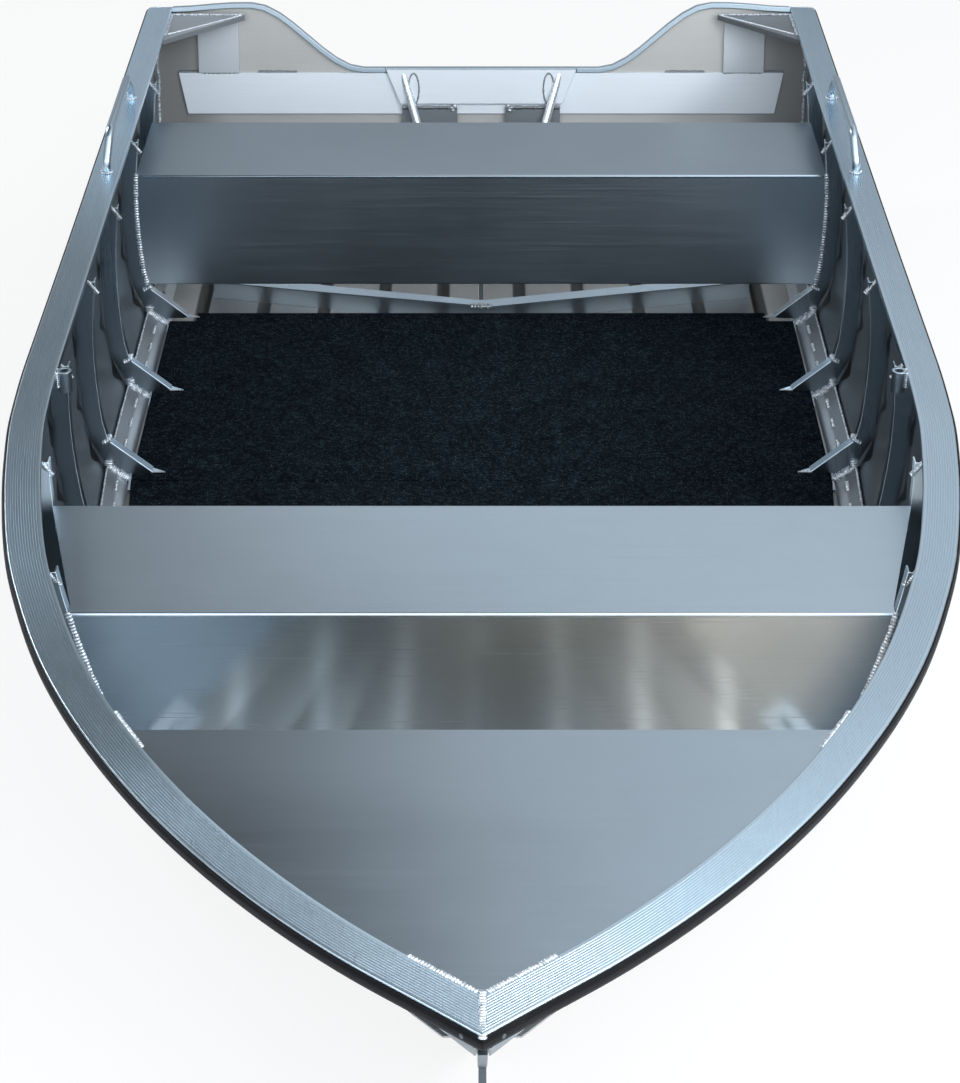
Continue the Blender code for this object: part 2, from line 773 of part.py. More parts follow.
# Floor frames: webs on the V bottom, folded forward at the top
def floor_frame(name, s, level, end):
    """level(x) is the height of the frame's top."""
    lip = KEEL_WIDTH / 2 + 0.004
    half = [lip] + [lip + (end - lip) * i / 5 for i in range(1, 6)]
    outer, inner = [], []
    for x in [-x for x in half[::-1]] + half:
        foot = bottom_z(s, abs(x)) + SHEET + 2 * GAP
        if abs(x) == lip:
            foot = max(foot, keel(s) + KEEL_IN + 2 * GAP)
        outer.append((x, foot))
        inner.append((x, level(x)))
    folded(outer, inner, s, FRAME_SHEET, FLOOR_FRAME_WIDTH, "bright aluminium", name, True)


def panel_level(x):
    return floor_z() - FLOOR_SHEET - GAP


for k in range(1, FRAME_COUNT):
    s = frame_s(k) - GAP
    end = min(bar_section(s)[0].x - 2 * FRAME_SHEET,
              reach_x(s - FLOOR_FRAME_WIDTH, panel_level(0) - 2.5 * FRAME_SHEET))
    floor_frame(f"floor_frame_{k}", s, panel_level, end)
s_aft = frame_s(0) - AFT_FRAME_AHEAD
floor_frame("floor_frame_aft", s_aft,
            lambda x: bottom_z(s_aft, abs(x)) + SHEET + AFT_FRAME_HEIGHT, AFT_FRAME_SPAN)


# Floor panels under their carpet
def floor_panel(name, s0, s1, corner=0.0):
    side = [(floor_x(s), along(s)) for s in stations(s0, s1 - corner)]
    if corner:
        x, y = side[-1]
        side += [(x - FLOOR_CORNER, y), (x - FLOOR_CORNER, along(s1))]
    loop = side + [(-x, y) for x, y in side[::-1]]
    return plate(name, loop, FLOOR_SHEET, "navy carpet",
                 Matrix.Translation((0, 0, floor_z() - FLOOR_SHEET / 2)))


joint = frame_s(3) - FLOOR_JOINT
floor_panel("floor_panel_main", joint + FLOOR_JOINT_GAP, frame_s(1) + FLOOR_AFT,
            FLOOR_AFT + 0.012)
floor_panel("floor_panel_forward", frame_s(6) - FLOOR_FORWARD, joint)

# Transom: raked plate with the engine cut-out between high quarters
LEAN = Matrix.Rotation(math.pi / 2 - TRANSOM_RAKE, 4, "X")
TOP = sheer(LENGTH)
QUARTER = -CAP_SHEET - GAP      # plate's top edge below the gunwale top, along the plate
NOTCH_CURVE = rail(LENGTH) - QUARTER_WIDTH - NOTCH_HALF     # S curve up to the quarter


def in_transom(offset):
    """Plane of the transom: local x across, y up the plate from the gunwale's top,
    z forward; offset forward of the plate's forward face."""
    return (Matrix.Translation((0, along(LENGTH), TOP)) @ LEAN
            @ Matrix.Translation((0, 0, offset)))


def transom_edge(x):
    """Height of the plate's top edge along the plate."""
    t = smooth((abs(x) - NOTCH_HALF) / NOTCH_CURVE)
    crown = QUARTER_CROWN * smooth((rail(LENGTH) - RAIL_WIDTH - abs(x)) / QUARTER_RUN)
    return QUARTER + crown - (NOTCH_DEPTH / math.cos(TRANSOM_RAKE) + crown) * (1 - t)


def quarter_marks():
    """Places of the quarter's top edge, out to the gunwale."""
    start, end = NOTCH_HALF + NOTCH_CURVE, rail(LENGTH) - RAIL_WIDTH
    return [start + (end - start) * i / 4 for i in range(1, 5)]


def transom_outline():
    c = math.cos(TRANSOM_RAKE)
    out = []
    x_top = rail(LENGTH) - RAIL_BOX
    marks = [0.0, NOTCH_HALF] + [NOTCH_HALF + NOTCH_CURVE * i / 8 for i in range(1, 9)]
    out = [(x, transom_edge(x)) for x in marks + quarter_marks()] + [(x_top, QUARTER)]
    low = -(TOP - side_low(LENGTH)) / c
    for i in range(1, 9):
        v = QUARTER + (low - QUARTER) * i / 8
        z = TOP + v * c
        out.append((side_x(transom_s(z), z) + 0.001, v))
    z = chine_z(transom_s(0))
    x = chine_x(LENGTH)
    out.append((x + CHINE_LIP, -(TOP - z - SHEET) / c))
    out.append((x + CHINE_LIP, -(TOP - z) / c))
    out.append((0, -(TOP + DRAFT) / c))
    return out + [(-x, v) for x, v in out[::-1] if x > 1e-6]


plate("transom", transom_outline(), TRANSOM_SHEET, "sheet aluminium",
      in_transom(-TRANSOM_SHEET / 2))


def transom_cap():
    """U section over the plate's top edge, from the engine pad to the gunwale."""
    end = rail(LENGTH) - RAIL_WIDTH - 2 * GAP
    marks = [NOTCH_HALF + NOTCH_CURVE * i / 8 for i in range(9)] + quarter_marks()[:-1] + [end]
    line = [Vector((x, transom_edge(x))) for x in [PAD_HALF + 2 * GAP] + marks]
    w, d, t = CAP_WIDTH / 2, CAP_DEPTH, CAP_SHEET
    slot = TRANSOM_SHEET / 2 + GAP
    profile = [(-w, t), (w, t), (w, t - d), (slot, t - d), (slot, 0), (-slot, 0),
               (-slot, t - d), (-w, t - d)]
    place = in_transom(-TRANSOM_SHEET / 2)
    rings = []
    for i, p in enumerate(line):
        a, b = line[max(i - 1, 0)], line[min(i + 1, len(line) - 1)]
        run = (b - a).normalized()
        n = Vector((-run.y, run.x))
        if i in (0, len(line) - 1):
            n = Vector((0, 1))
        rings.append([place @ Vector((p.x + n.x * (up + GAP), p.y + n.y * (up + GAP), off))
                      for off, up in profile])
    return loft(rings)


ob = from_bmesh("transom_cap_port", transom_cap(), "brushed aluminium", 30)
starboard(ob, "transom_cap_starboard")

# Plates on the transom: doubler across it, engine pads inside and out with a strip on
# top, stiffeners
floor_of_notch = transom_edge(0)


def sloped(x0, x1, top, height, slope_in, slope_out):
    return [(x0, top), (x1, top), (x1 - slope_out, top - height), (x0 + slope_in, top - height)]


doubler_top = floor_of_notch - CAP_DEPTH + CAP_SHEET - 2 * GAP
doubler_x = rail(LENGTH) - DOUBLER_SIDE
plate("doubler", sloped(-doubler_x, doubler_x, doubler_top, DOUBLER_HEIGHT,
                        DOUBLER_SLOPE, DOUBLER_SLOPE),
      DOUBLER_PROUD, "bright aluminium", in_transom(GAP + DOUBLER_PROUD / 2))
pad_back = DOUBLER_PROUD + 2 * GAP
plate("engine_pad_inner", sloped(-PAD_HALF, PAD_HALF, floor_of_notch, PAD_HEIGHT,
                                 PAD_SLOPE, PAD_SLOPE),
      PAD_PROUD, "bright aluminium", in_transom(pad_back + PAD_PROUD / 2))
plate("engine_pad_outer", sloped(-PAD_HALF, PAD_HALF, floor_of_notch, OUTER_PAD_HEIGHT,
                                 PAD_SLOPE, PAD_SLOPE),
      OUTER_PAD_THICK, "bright aluminium",
      in_transom(-TRANSOM_SHEET - GAP - OUTER_PAD_THICK / 2))
strip_front = pad_back + PAD_PROUD
strip_back = -TRANSOM_SHEET - GAP - OUTER_PAD_THICK
plate("engine_pad_strip", sloped(-PAD_HALF, PAD_HALF, floor_of_notch + GAP + CAP_SHEET,
                                 CAP_SHEET, 0, 0),
      strip_front - strip_back, "brushed aluminium",
      in_transom((strip_front + strip_back) / 2))
stiffener_x = rail(LENGTH) - STIFFENER_SIDE
gusset_low = -(RAIL_LIP + GUSSET_SHEET + 3 * GAP) / math.cos(TRANSOM_RAKE) - CAP_DEPTH
stiff = [(stiffener_x - STIFFENER_WIDTH, gusset_low), (stiffener_x, gusset_low),
         (stiffener_x, doubler_top + GAP), (stiffener_x - STIFFENER_WIDTH, doubler_top + GAP)]
ob = plate("stiffener_port", stiff, STIFFENER_PROUD, "bright aluminium",
           in_transom(GAP + STIFFENER_PROUD / 2))
starboard(ob, "stiffener_starboard")


# Corner gussets: triangles under the gunwale's lip, folded down along the free edge
def gusset():
    z = TOP - RAIL_LIP - GAP - GUSSET_SHEET / 2
    s1 = transom_s(z) - CAP_WIDTH
    x1 = side_x(s1, z) - (SHEET + STRAKE_DEPTH) - 0.001
    inner = rail(LENGTH) - RAIL_WIDTH
    loop = [(x1, along(s1)), (inner - GUSSET, along(s1)), (inner, along(s1 - GUSSET)),
            (x1, along(s1 - GUSSET))]
    ob = plate("gusset_port", loop, GUSSET_SHEET, "brushed aluminium",
               Matrix.Translation((0, 0, z)))
    a, b = Vector(loop[1]), Vector(loop[2])
    u = (b - a).normalized()
    n = Vector((-u.y, u.x)) * GUSSET_SHEET
    if n.x < 0:
        n = -n
    fold = [tuple(a), tuple(b), tuple(b + n), tuple(a + n)]
    lip = plate("fold", fold, GUSSET_FOLD, "brushed aluminium",
                Matrix.Translation((0, 0, z + GUSSET_SHEET / 2 - GUSSET_FOLD / 2)))
    ob = join(ob, lip)
    return starboard(ob, "gusset_starboard")


gusset()

# Brace tubes from the engine pad down to the bottom, mitred to both
def brace():
    forward = LEAN @ Vector((0, 0, 1))
    face = pad_back + PAD_PROUD + GAP
    head = in_transom(face) @ Vector((BRACE_TOP, floor_of_notch - BRACE_DROP, 0))
    foot_s = LENGTH - BRACE_REACH
    rise = (bottom_z(foot_s, BRACE_FOOT) - keel(foot_s)) / BRACE_FOOT
    foot = Vector((BRACE_FOOT, along(foot_s), bottom_z(foot_s, BRACE_FOOT) + SHEET + 2 * GAP))
    floor = Vector((-rise, 0, 1)).normalized()
    run = (foot - head).normalized()
    u = run.cross(Vector((1, 0, 0))).normalized()
    v = run.cross(u)
    rings = []
    for point, normal in ((head, forward), (foot, floor)):
        ring = []
        for i in range(16):
            out = (u * math.cos(math.tau * i / 16) + v * math.sin(math.tau * i / 16))
            p = head + out * BRACE_RADIUS
            ring.append(p + run * ((point - p).dot(normal) / run.dot(normal)))
        rings.append(ring)
    ob = from_bmesh("brace_port", loft(rings), "bright aluminium", 50)
    return starboard(ob, "brace_starboard")


brace()

# Brackets under the engine pad, on the doubler
bracket_top = floor_of_notch - PAD_HEIGHT - BRACKET_DROP
bracket_out = BRACKET_IN + BRACKET_WIDTH
ob = plate("well_bracket_port",
           [(BRACKET_IN, bracket_top), (bracket_out, bracket_top),
            (bracket_out, bracket_top - BRACKET_HEIGHT), (BRACKET_IN, bracket_top - BRACKET_HEIGHT)],
           BRACKET_PROUD, "sheet aluminium", in_transom(pad_back + BRACKET_PROUD / 2))
starboard(ob, "well_bracket_starboard")


# Rowlock sockets: turned tubes on the gunwale's inner edge
def rowlock():
    mesh = bpy.data.meshes.new("rowlock_port")
    bm = bmesh.new()
    ring = [bm.verts.new(p) for p in (
        (ROWLOCK_RADIUS, 0, 0), (ROWLOCK_RADIUS, 0, -ROWLOCK_LENGTH),
        (ROWLOCK_BORE, 0, -ROWLOCK_LENGTH), (ROWLOCK_BORE, 0, 0))]
    for i in range(4):
        bm.edges.new((ring[i], ring[(i + 1) % 4]))
    bm.to_mesh(mesh)
    bm.free()
    ob = add("rowlock_port", mesh, "bright aluminium")
    turn = ob.modifiers.new("turn", "SCREW")
    turn.steps = turn.render_steps = 20
    turn.use_merge_vertices = True
    turn.merge_threshold = 0.00002
    slope = rail_slope(ROWLOCK_S)
    reach = (RAIL_WIDTH + ROWLOCK_RADIUS + GAP) * math.hypot(1, slope)
    ob.location = (rail(ROWLOCK_S) - reach, along(ROWLOCK_S), sheer(ROWLOCK_S) + 0.001)
    return starboard(ob, "rowlock_starboard")


rowlock()


# Grab handles on the gunwales, leaning outwards
def handle():
    s0, s1 = HANDLE_S, HANDLE_S + HANDLE_LENGTH
    pts = []
    for s, lean, up, shift in ((s0, 0, GAP, 0), (s0, 0, 0.018, 0),
                               (s0, HANDLE_LEAN, HANDLE_HEIGHT, HANDLE_RUN),
                               (s1, HANDLE_LEAN, HANDLE_HEIGHT, -HANDLE_RUN_AFT),
                               (s1, 0, 0.018, 0), (s1, 0, GAP, 0)):
        pts.append((rail(s) - HANDLE_IN - lean, along(s + shift), sheer(s) + up))
    ob = rod("grab_handle_port", rounded(pts, 0.03, 4), HANDLE_RADIUS, "bright aluminium")
    return starboard(ob, "grab_handle_starboard")


handle()


# Bow eye: a bored lug on the stem
def bow_eye():
    s = EYE_S
    slope = (keel(s + 0.01) - keel(s - 0.01)) / 0.02
    size = math.hypot(1, slope)
    n = Vector((slope / size, -1 / size))
    u = Vector((-n.y, n.x))
    base = Vector((along(s), keel(s))) + n * (KEEL_OUT + 3 * GAP)
    mid = base + n * EYE_REACH
    lug = [tuple(base - u * EYE_RADIUS * 1.3)]
    angle = math.atan2(n.y, n.x)
    for i in range(13):
        a = angle - math.pi / 2 + math.pi * i / 12
        lug.append((mid.x + EYE_RADIUS * math.cos(a), mid.y + EYE_RADIUS * math.sin(a)))
    lug.append(tuple(base + u * EYE_RADIUS * 1.3))
    bore = [(mid.x + EYE_BORE * math.cos(math.tau * i / 16),
             mid.y + EYE_BORE * math.sin(math.tau * i / 16)) for i in range(16)]
    plate("bow_eye", [lug, bore], EYE_THICK, "bright aluminium", LENGTHWISE)


bow_eye()
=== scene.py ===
# %% [markdown]
# # Dressing an open aluminium dinghy
#
# The boat comes packed from its CAD part as a fixed frame: one object for each sheet,
# frame and fitting, all in metres, with the bow towards -Y, port towards +X and the water
# at z = 0. This lesson gives it its finish: rounded folds and edges, a grooved gunwale,
# weld beads, carpet, rubber and the satin of rolled aluminium. Nothing is moved or
# rescaled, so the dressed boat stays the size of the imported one.

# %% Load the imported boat
import math

import bmesh
import bpy
from mathutils import Matrix, Vector
from mathutils.bvhtree import BVHTree


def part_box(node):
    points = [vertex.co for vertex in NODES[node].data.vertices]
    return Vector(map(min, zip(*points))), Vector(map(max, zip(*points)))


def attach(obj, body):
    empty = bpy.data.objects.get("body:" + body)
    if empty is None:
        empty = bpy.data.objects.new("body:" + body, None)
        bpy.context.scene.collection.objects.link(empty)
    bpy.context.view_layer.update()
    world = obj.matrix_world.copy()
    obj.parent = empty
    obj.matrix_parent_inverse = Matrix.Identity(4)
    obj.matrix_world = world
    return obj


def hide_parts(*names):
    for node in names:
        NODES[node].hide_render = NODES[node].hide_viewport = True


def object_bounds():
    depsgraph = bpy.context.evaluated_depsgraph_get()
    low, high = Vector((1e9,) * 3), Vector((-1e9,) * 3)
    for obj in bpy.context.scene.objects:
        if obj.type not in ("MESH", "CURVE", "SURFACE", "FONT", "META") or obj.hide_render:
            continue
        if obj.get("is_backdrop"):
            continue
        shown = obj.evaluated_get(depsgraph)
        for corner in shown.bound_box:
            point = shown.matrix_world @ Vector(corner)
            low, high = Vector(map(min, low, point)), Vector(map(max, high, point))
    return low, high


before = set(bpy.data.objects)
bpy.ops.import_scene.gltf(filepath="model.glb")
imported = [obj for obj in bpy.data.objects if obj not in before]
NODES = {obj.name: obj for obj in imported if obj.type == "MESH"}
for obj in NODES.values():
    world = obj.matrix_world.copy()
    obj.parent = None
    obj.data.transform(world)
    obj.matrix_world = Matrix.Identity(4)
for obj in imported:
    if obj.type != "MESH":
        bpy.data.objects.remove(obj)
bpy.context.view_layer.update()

# %% [markdown]
# ## The lines of the hull
#
# The gunwale's outer edge is one smooth curve from the bow's tip to the transom. A table
# of stations and half breadths, joined by a monotone spline, gives the same curve as the
# CAD part has, and everything that follows the gunwale is placed with it. Distances s run
# aft from the bow's tip.

# %% Gunwale line
LENGTH, BEAM, DEPTH, DRAFT = 3.78, 1.628, 0.555, 0.080
BOW_RISE, RISE_LENGTH = 0.060, 1.60
DECK_LENGTH = 0.682
RAKE = math.radians(12)
RAIL_WIDTH, RAIL_LIP, RAIL_BOX, RAIL_HEIGHT = 0.058, 0.010, 0.020, 0.024
GAP = 0.0003
GUNWALE_LINE = [
    (0.0000, 0.000), (0.0132, 0.069), (0.0397, 0.209), (0.0661, 0.328), (0.0952, 0.440),
    (0.1270, 0.545), (0.1587, 0.634), (0.1931, 0.717), (0.2275, 0.786), (0.2646, 0.845),
    (0.3042, 0.897), (0.3439, 0.934), (0.3862, 0.964), (0.4339, 0.986), (0.4894, 0.993),
    (0.6085, 0.993), (0.7500, 0.995), (1.0000, 0.999)]


def spline(rows):
    """Monotone curve through rows of (place, value)."""
    xs, ys = [r[0] for r in rows], [r[1] for r in rows]
    rise = [(b - a) / (q - p) for a, b, p, q in zip(ys, ys[1:], xs, xs[1:])]
    slope = [rise[0]]
    for a, b in zip(rise, rise[1:]):
        slope.append(0.0 if a * b <= 0 else 2 * a * b / (a + b))
    slope.append(rise[-1])

    def at(x):
        x = min(max(x, xs[0]), xs[-1])
        i = 0
        while i < len(xs) - 2 and x > xs[i + 1]:
            i += 1
        h = xs[i + 1] - xs[i]
        t = (x - xs[i]) / h
        return ((2 * t ** 3 - 3 * t ** 2 + 1) * ys[i] + (t ** 3 - 2 * t ** 2 + t) * h * slope[i]
                + (3 * t ** 2 - 2 * t ** 3) * ys[i + 1] + (t ** 3 - t ** 2) * h * slope[i + 1])
    return at


breadth = spline(GUNWALE_LINE)


def along(s):
    return s - LENGTH / 2


def sheer(s):
    return DEPTH - DRAFT + BOW_RISE * max(0.0, 1 - s / RISE_LENGTH) ** 2


def rail(s):
    if s < 0:
        return s * rail(0.01) / 0.01
    return BEAM / 2 * breadth(s / LENGTH) - 0.0002





def rail_point(s, out, up):
    """A point beside the gunwale's outer top edge: outwards and up from it."""
    near = max(s, 0.0)
    slope = (rail(near + 0.004) - rail(near - 0.004)) / 0.008
    size = math.hypot(1, slope)
    at = s - out * slope / size
    return Vector((rail(s) + out / size, along(at), sheer(at) + up))


def transom_s(z):
    return LENGTH - (sheer(LENGTH) - z) * math.tan(RAKE)


def on_transom(x, up, off):
    """Point on the raked transom: across, up the plate from the gunwale's top, forward."""
    return Vector((x, along(LENGTH) + up * math.sin(RAKE) - off * math.cos(RAKE),
                   sheer(LENGTH) + up * math.cos(RAKE) + off * math.sin(RAKE)))


print("gunwale half breadth amidships:", round(rail(LENGTH / 2), 4))

# %% [markdown]
# ## Shader maths in plain expressions
#
# A finish is a node tree. Adding Math nodes by hand hides the thought behind it, so a
# small class wraps a socket and turns +, -, * and / into those nodes, and another one adds
# any other node in one call.

# %% A little language for node trees
def plug(tree, slot, item):
    """Link a value or a socket to a slot, or write a plain number or colour there."""
    if isinstance(item, Value):
        item = item.socket
    if isinstance(item, bpy.types.NodeSocket):
        tree.links.new(item, slot)
    else:
        slot.default_value = item


def add_node(tree, kind, settings=None, **slots):
    """A node: its settings first, then its slots by name or by _number."""
    node = tree.nodes.new(kind)
    for name, setting in (settings or {}).items():
        setattr(node, name, setting)
    for name, item in slots.items():
        key = int(name[1:]) if name[0] == "_" else name.replace("_", " ")
        plug(tree, node.inputs[key], item)
    return node


class Value:
    """A number travelling through a shader tree."""

    def __init__(self, tree, socket):
        self.tree, self.socket = tree, socket

    def math(self, operation, other=None, flip=False):
        node = add_node(self.tree, "ShaderNodeMath", {"operation": operation})
        pair = [self] if other is None else [other, self] if flip else [self, other]
        for slot, item in zip(node.inputs, pair):
            plug(self.tree, slot, item)
        return Value(self.tree, node.outputs[0])

    def __add__(self, other):
        return self.math("ADD", other)

    __radd__ = __add__

    def __mul__(self, other):
        return self.math("MULTIPLY", other)

    __rmul__ = __mul__

    def __sub__(self, other):
        return self.math("SUBTRACT", other)

    def __rsub__(self, other):
        return self.math("SUBTRACT", other, True)

    def __truediv__(self, other):
        return self.math("DIVIDE", other)

    def __abs__(self):
        return self.math("ABSOLUTE")

    def ramp(self, low, high, first=0.0, last=1.0):
        """Smooth step from one value to another."""
        node = add_node(self.tree, "ShaderNodeMapRange", {"interpolation_type": "SMOOTHSTEP"},
                        Value=self, From_Min=low, From_Max=high, To_Min=first, To_Max=last)
        return Value(self.tree, node.outputs[0])

    def between(self, a, b, c, d):
        """Zero up to a, one from b to c, zero again past d."""
        return self.ramp(a, b) * self.ramp(c, d, 1.0, 0.0)


class Finish:
    """A material and its node tree."""

    def __init__(self, name):
        self.material = bpy.data.materials.new(name)
        self.material.use_nodes = True
        self.tree = self.material.node_tree
        self.surface = self.tree.nodes["Principled BSDF"]
        self.object = self.node("ShaderNodeTexCoord").outputs["Object"]
        self.x, self.y, self.z = self.parts(self.object)

    def node(self, kind, settings=None, **slots):
        return add_node(self.tree, kind, settings, **slots)

    def parts(self, vector):
        """A place or a direction as three values: across, lengthwise and up."""
        split = self.node("ShaderNodeSeparateXYZ", Vector=vector)
        return [Value(self.tree, out) for out in split.outputs]

    def place(self, scale, rotation=(0, 0, 0)):
        return self.node("ShaderNodeMapping", Vector=self.object, Scale=scale,
                         Rotation=rotation).outputs[0]

    def noise(self, scale, detail=2.0, roughness=0.5, vector=None, distortion=0.0):
        node = self.node("ShaderNodeTexNoise", Vector=vector or self.object, Scale=scale,
                         Detail=detail, Roughness=roughness, Distortion=distortion)
        return Value(self.tree, node.outputs[0])

    def blend(self, factor, one, two):
        node = self.node("ShaderNodeMix", {"data_type": "RGBA"}, _0=factor, _6=one, _7=two)
        return node.outputs[2]

    def bump(self, height, distance, strength=1.0, under=None):
        slots = {"Height": height, "Distance": distance, "Strength": strength}
        if under is not None:
            slots["Normal"] = under
        return self.node("ShaderNodeBump", **slots).outputs[0]

    def set(self, **slots):
        for name, item in slots.items():
            plug(self.tree, self.surface.inputs[name.replace("_", " ")], item)
        return self

    def show(self, shader):
        """Show another shader in place of the plain surface."""
        plug(self.tree, self.tree.nodes["Material Output"].inputs["Surface"],
             shader.outputs[0])


# %% [markdown]
# ## Rolled aluminium
#
# Sheet comes from the mill with a fine grain in the rolling direction, faint clouds where
# the oxide is thicker, a few handling scratches and a slow waviness that only reflections
# show. The grain is noise squeezed in two directions. All of it moves colour and roughness
# only a little, because real sheet is far more even than one expects. Smooth steps along an
# axis then paint light and shade into the colour at some places: painted shadow beside the
# frames, painted highlights on folds and crests, and brighter or darker patches where the
# light falls unevenly.

# %% Metal finishes
def aluminium(name, colour, rough, grain_along, grain=0.05, cloud=0.05, wave=0.0,
              scratch=0.04, tint=(0.86, 0.93, 1.0), metal=1.0, bump=0.1, shade_by=None,
              warm_by=None):
    """Satin metal whose grain runs along one axis (0 across, 1 lengthwise, 2 up)."""
    look = Finish(name)
    squeeze, thin = [420.0] * 3, [900.0] * 3
    squeeze[grain_along], thin[grain_along] = 6.0, 2.2
    lines = look.noise(1.0, 3.0, 0.6, look.place(squeeze))
    clouds = look.noise(2.3, 4.0, 0.6)
    blotch = look.noise(11.0, 3.0, 0.65, distortion=0.6)
    marks = look.noise(1.0, 1.0, 0.4, look.place(thin, (0.02, 0.03, 0.04))).ramp(0.66, 0.74)
    shade = (clouds - 0.5) * cloud + (lines - 0.5) * grain + (blotch - 0.5) * cloud * 0.6
    bright = 1 + shade * 2 - marks * scratch
    # shade_by scales the colour by place and warm_by blends in a warm tint: both paint light
    # and shade into the colour.
    if shade_by:
        bright = bright * shade_by(look)
    plain = tuple(colour * t for t in tint)
    if warm_by:
        warm = tuple(colour * t for t in PAINTED_WARM_LIGHT)
        plain = look.blend(warm_by(look), plain + (1,), warm + (1,))
    base = look.node("ShaderNodeVectorMath", {"operation": "SCALE"}, _0=plain,
                     Scale=bright).outputs[0]
    rough = rough(look) if callable(rough) else rough
    metal = metal(look) if callable(metal) else metal
    roughness = (lines - 0.5) * 0.10 + (clouds - 0.5) * 0.10 + marks * 0.10 + rough
    height = look.bump(lines + marks * 0.6, 0.00012, bump)
    if wave:
        height = look.bump(look.noise(4.5, 1.0, 0.4), wave, 1.0, height)
    return look.set(Base_Color=base, Roughness=roughness, Metallic=metal,
                    Normal=height).material


# The first tint is painted warm light, the second the own warmer tone of bottom and transom.
PAINTED_WARM_LIGHT, WARM = (1.18, 1.02, 0.88), (0.95, 0.95, 0.93)
BLUE, COOL = (0.76, 0.93, 1.06), (0.785, 0.93, 1.05)
FRAME_FRONT, FRAME_PITCH = LENGTH / 2 - 0.446, 0.362
FLUTE_FIRST, FLUTE_PITCH = 0.0903, 0.1378
STRAKE_LOW, STRAKE_PITCH = 0.020, 0.115
SEAT_TOP = 0.3646

DECK_EDGE, THWART_EDGE = (-1.25, -1.10), (-0.90, -0.70)


def past(place, first, pitch):
    """How far a place is past the last of some equal steps, as a share of one."""
    return ((place - first) / pitch).math("FRACT")


def off_line(place, first, pitch):
    """How far a place is from the nearest of a row of lines, as a share of their pitch."""
    return abs(past(place, first - pitch / 2, pitch) - 0.5)


def inboard(look):
    """One on a sheet's face towards the cockpit, zero on its wet face."""
    out, up = look.parts(look.node("ShaderNodeTexCoord").outputs["Normal"])[::2]
    return (up * 0.8 - out * look.x.math("SIGN")).ramp(-0.05, 0.05)


def bow_patch(look):
    """One low down between the foredeck and the forward thwart."""
    low = look.z.ramp(0.30, 0.38, 1.0, 0.0)
    return look.y.between(*DECK_EDGE, *THWART_EDGE) * low * inboard(look)


def flute_painted_shade_and_highlight(look):
    """Flutes: painted shade in hollows aft; painted highlights on crests ahead, more to port.
    """
    dark = off_line(abs(look.x), FLUTE_FIRST, FLUTE_PITCH).ramp(0.09, 0.13, 0.06, 1.0)
    pale = off_line(abs(look.x), 0.0, FLUTE_PITCH).ramp(0.04, 0.17, 1.65, 0.85)
    pale = pale * look.x.ramp(-0.36, 0.0, 0.42, 0.90) * look.x.ramp(0.1, 0.4, 1.0, 1.3)
    aft, inner = look.y.ramp(-0.8, -0.6), inboard(look)
    return (dark * aft + pale * (1 - aft)) * inner + 1 - inner


def port_bow(look):
    """Painted warm light low on the port bow, between foredeck and forward thwart."""
    return look.x.ramp(0.05, 0.40) * bow_patch(look)


def bow_metal(look):
    """Ahead of the forward thwart the sides are chalky, elsewhere half reflective."""
    return 0.75 - bow_patch(look) * 0.55


def seat_fold(look):
    """One on the rolled edge between a seat's top and its front."""
    return look.z.between(SEAT_TOP - 0.0056, SEAT_TOP - 0.0044, SEAT_TOP - 0.0008, SEAT_TOP)





def seat_painted_light(look):
    """Painted light: the aft thwart's front is paler than its top, most of all to port."""
    front = look.z.ramp(SEAT_TOP - 0.0096, SEAT_TOP - 0.0026, 1.0, 0.0)
    # Its rolled edge also gets a painted highlight.
    return front * look.x.ramp(-0.4, 0.5, 0.18, 0.64) + (seat_fold(look) * 0.5 + 1)


def seat_metal(look):
    """Chalky where the front meets the chine."""
    return 1 - abs(look.x).ramp(0.60, 0.70) * look.z.ramp(0.06, 0.28, 0.40, 0.0)





def rail_shade(look):
    """Painted light and shade: brighter at the bow and far aft, darker to starboard amidships.
    """
    left = look.y.ramp(-1.50, -1.20, 0.42, -0.17) + look.y.ramp(0.3, 1.1, 0.0, 0.52)
    right = look.y.ramp(-1.7, -0.9, 0.36, 0.05) + look.y.ramp(0.6, 1.2, 0.0, 0.05)
    side = look.x.ramp(-0.05, 0.05)
    return 1 + left * (1 - side) + right * side





def face_sheen(look):
    """Below the fold a thwart's front is as the roller left it, nearly a mirror."""
    return look.z.ramp(SEAT_TOP - 0.0031, SEAT_TOP - 0.0011, 0.17, 0.32)


def bar_shade(look):
    """Darker along the upper half; painted light to port ahead of the forward thwart."""
    ahead = look.x.ramp(0.0, 0.2) * look.y.ramp(-0.80, -0.70, 1.9, 0.0)
    return (look.z - look.y.ramp(-0.1, 0.5, 0.008, 0.0)).ramp(0.016, 0.021, 1.0, 0.50) + ahead


def side_painted_light_and_shade(look):
    """Side sheets: painted light by the bow, painted shadow and painted gaps beside the frames.
    """
    inner = inboard(look)
    painted_bow_light = look.x.ramp(0.0, 0.3, 0.5, 2.0) * bow_patch(look) + 1
    back = past(look.y, FRAME_FRONT, FRAME_PITCH) * FRAME_PITCH
    # Painted shadow just ahead of each frame, and spindles painted dark where the frames cross
    # the strakes.
    shadow = back.ramp(FRAME_PITCH - 0.035, FRAME_PITCH - 0.008)
    spindle = past(look.z, STRAKE_LOW, STRAKE_PITCH).between(0.15, 0.5, 0.5, 0.85) * 0.042
    painted_gap = (back + spindle - FRAME_PITCH).ramp(0.0, 0.003) * look.y.ramp(-0.72, -0.70)
    painted_shadow = (1 - shadow * 0.6) * (1 - painted_gap * 0.92)
    # Painted shade darkens the sheets at the very bow, inside and out; painted bow light
    # brightens the inside.
    return painted_bow_light * look.y.ramp(-1.8, -1.6, 0.6, 1.0) * (painted_shadow * inner + 1 - inner)


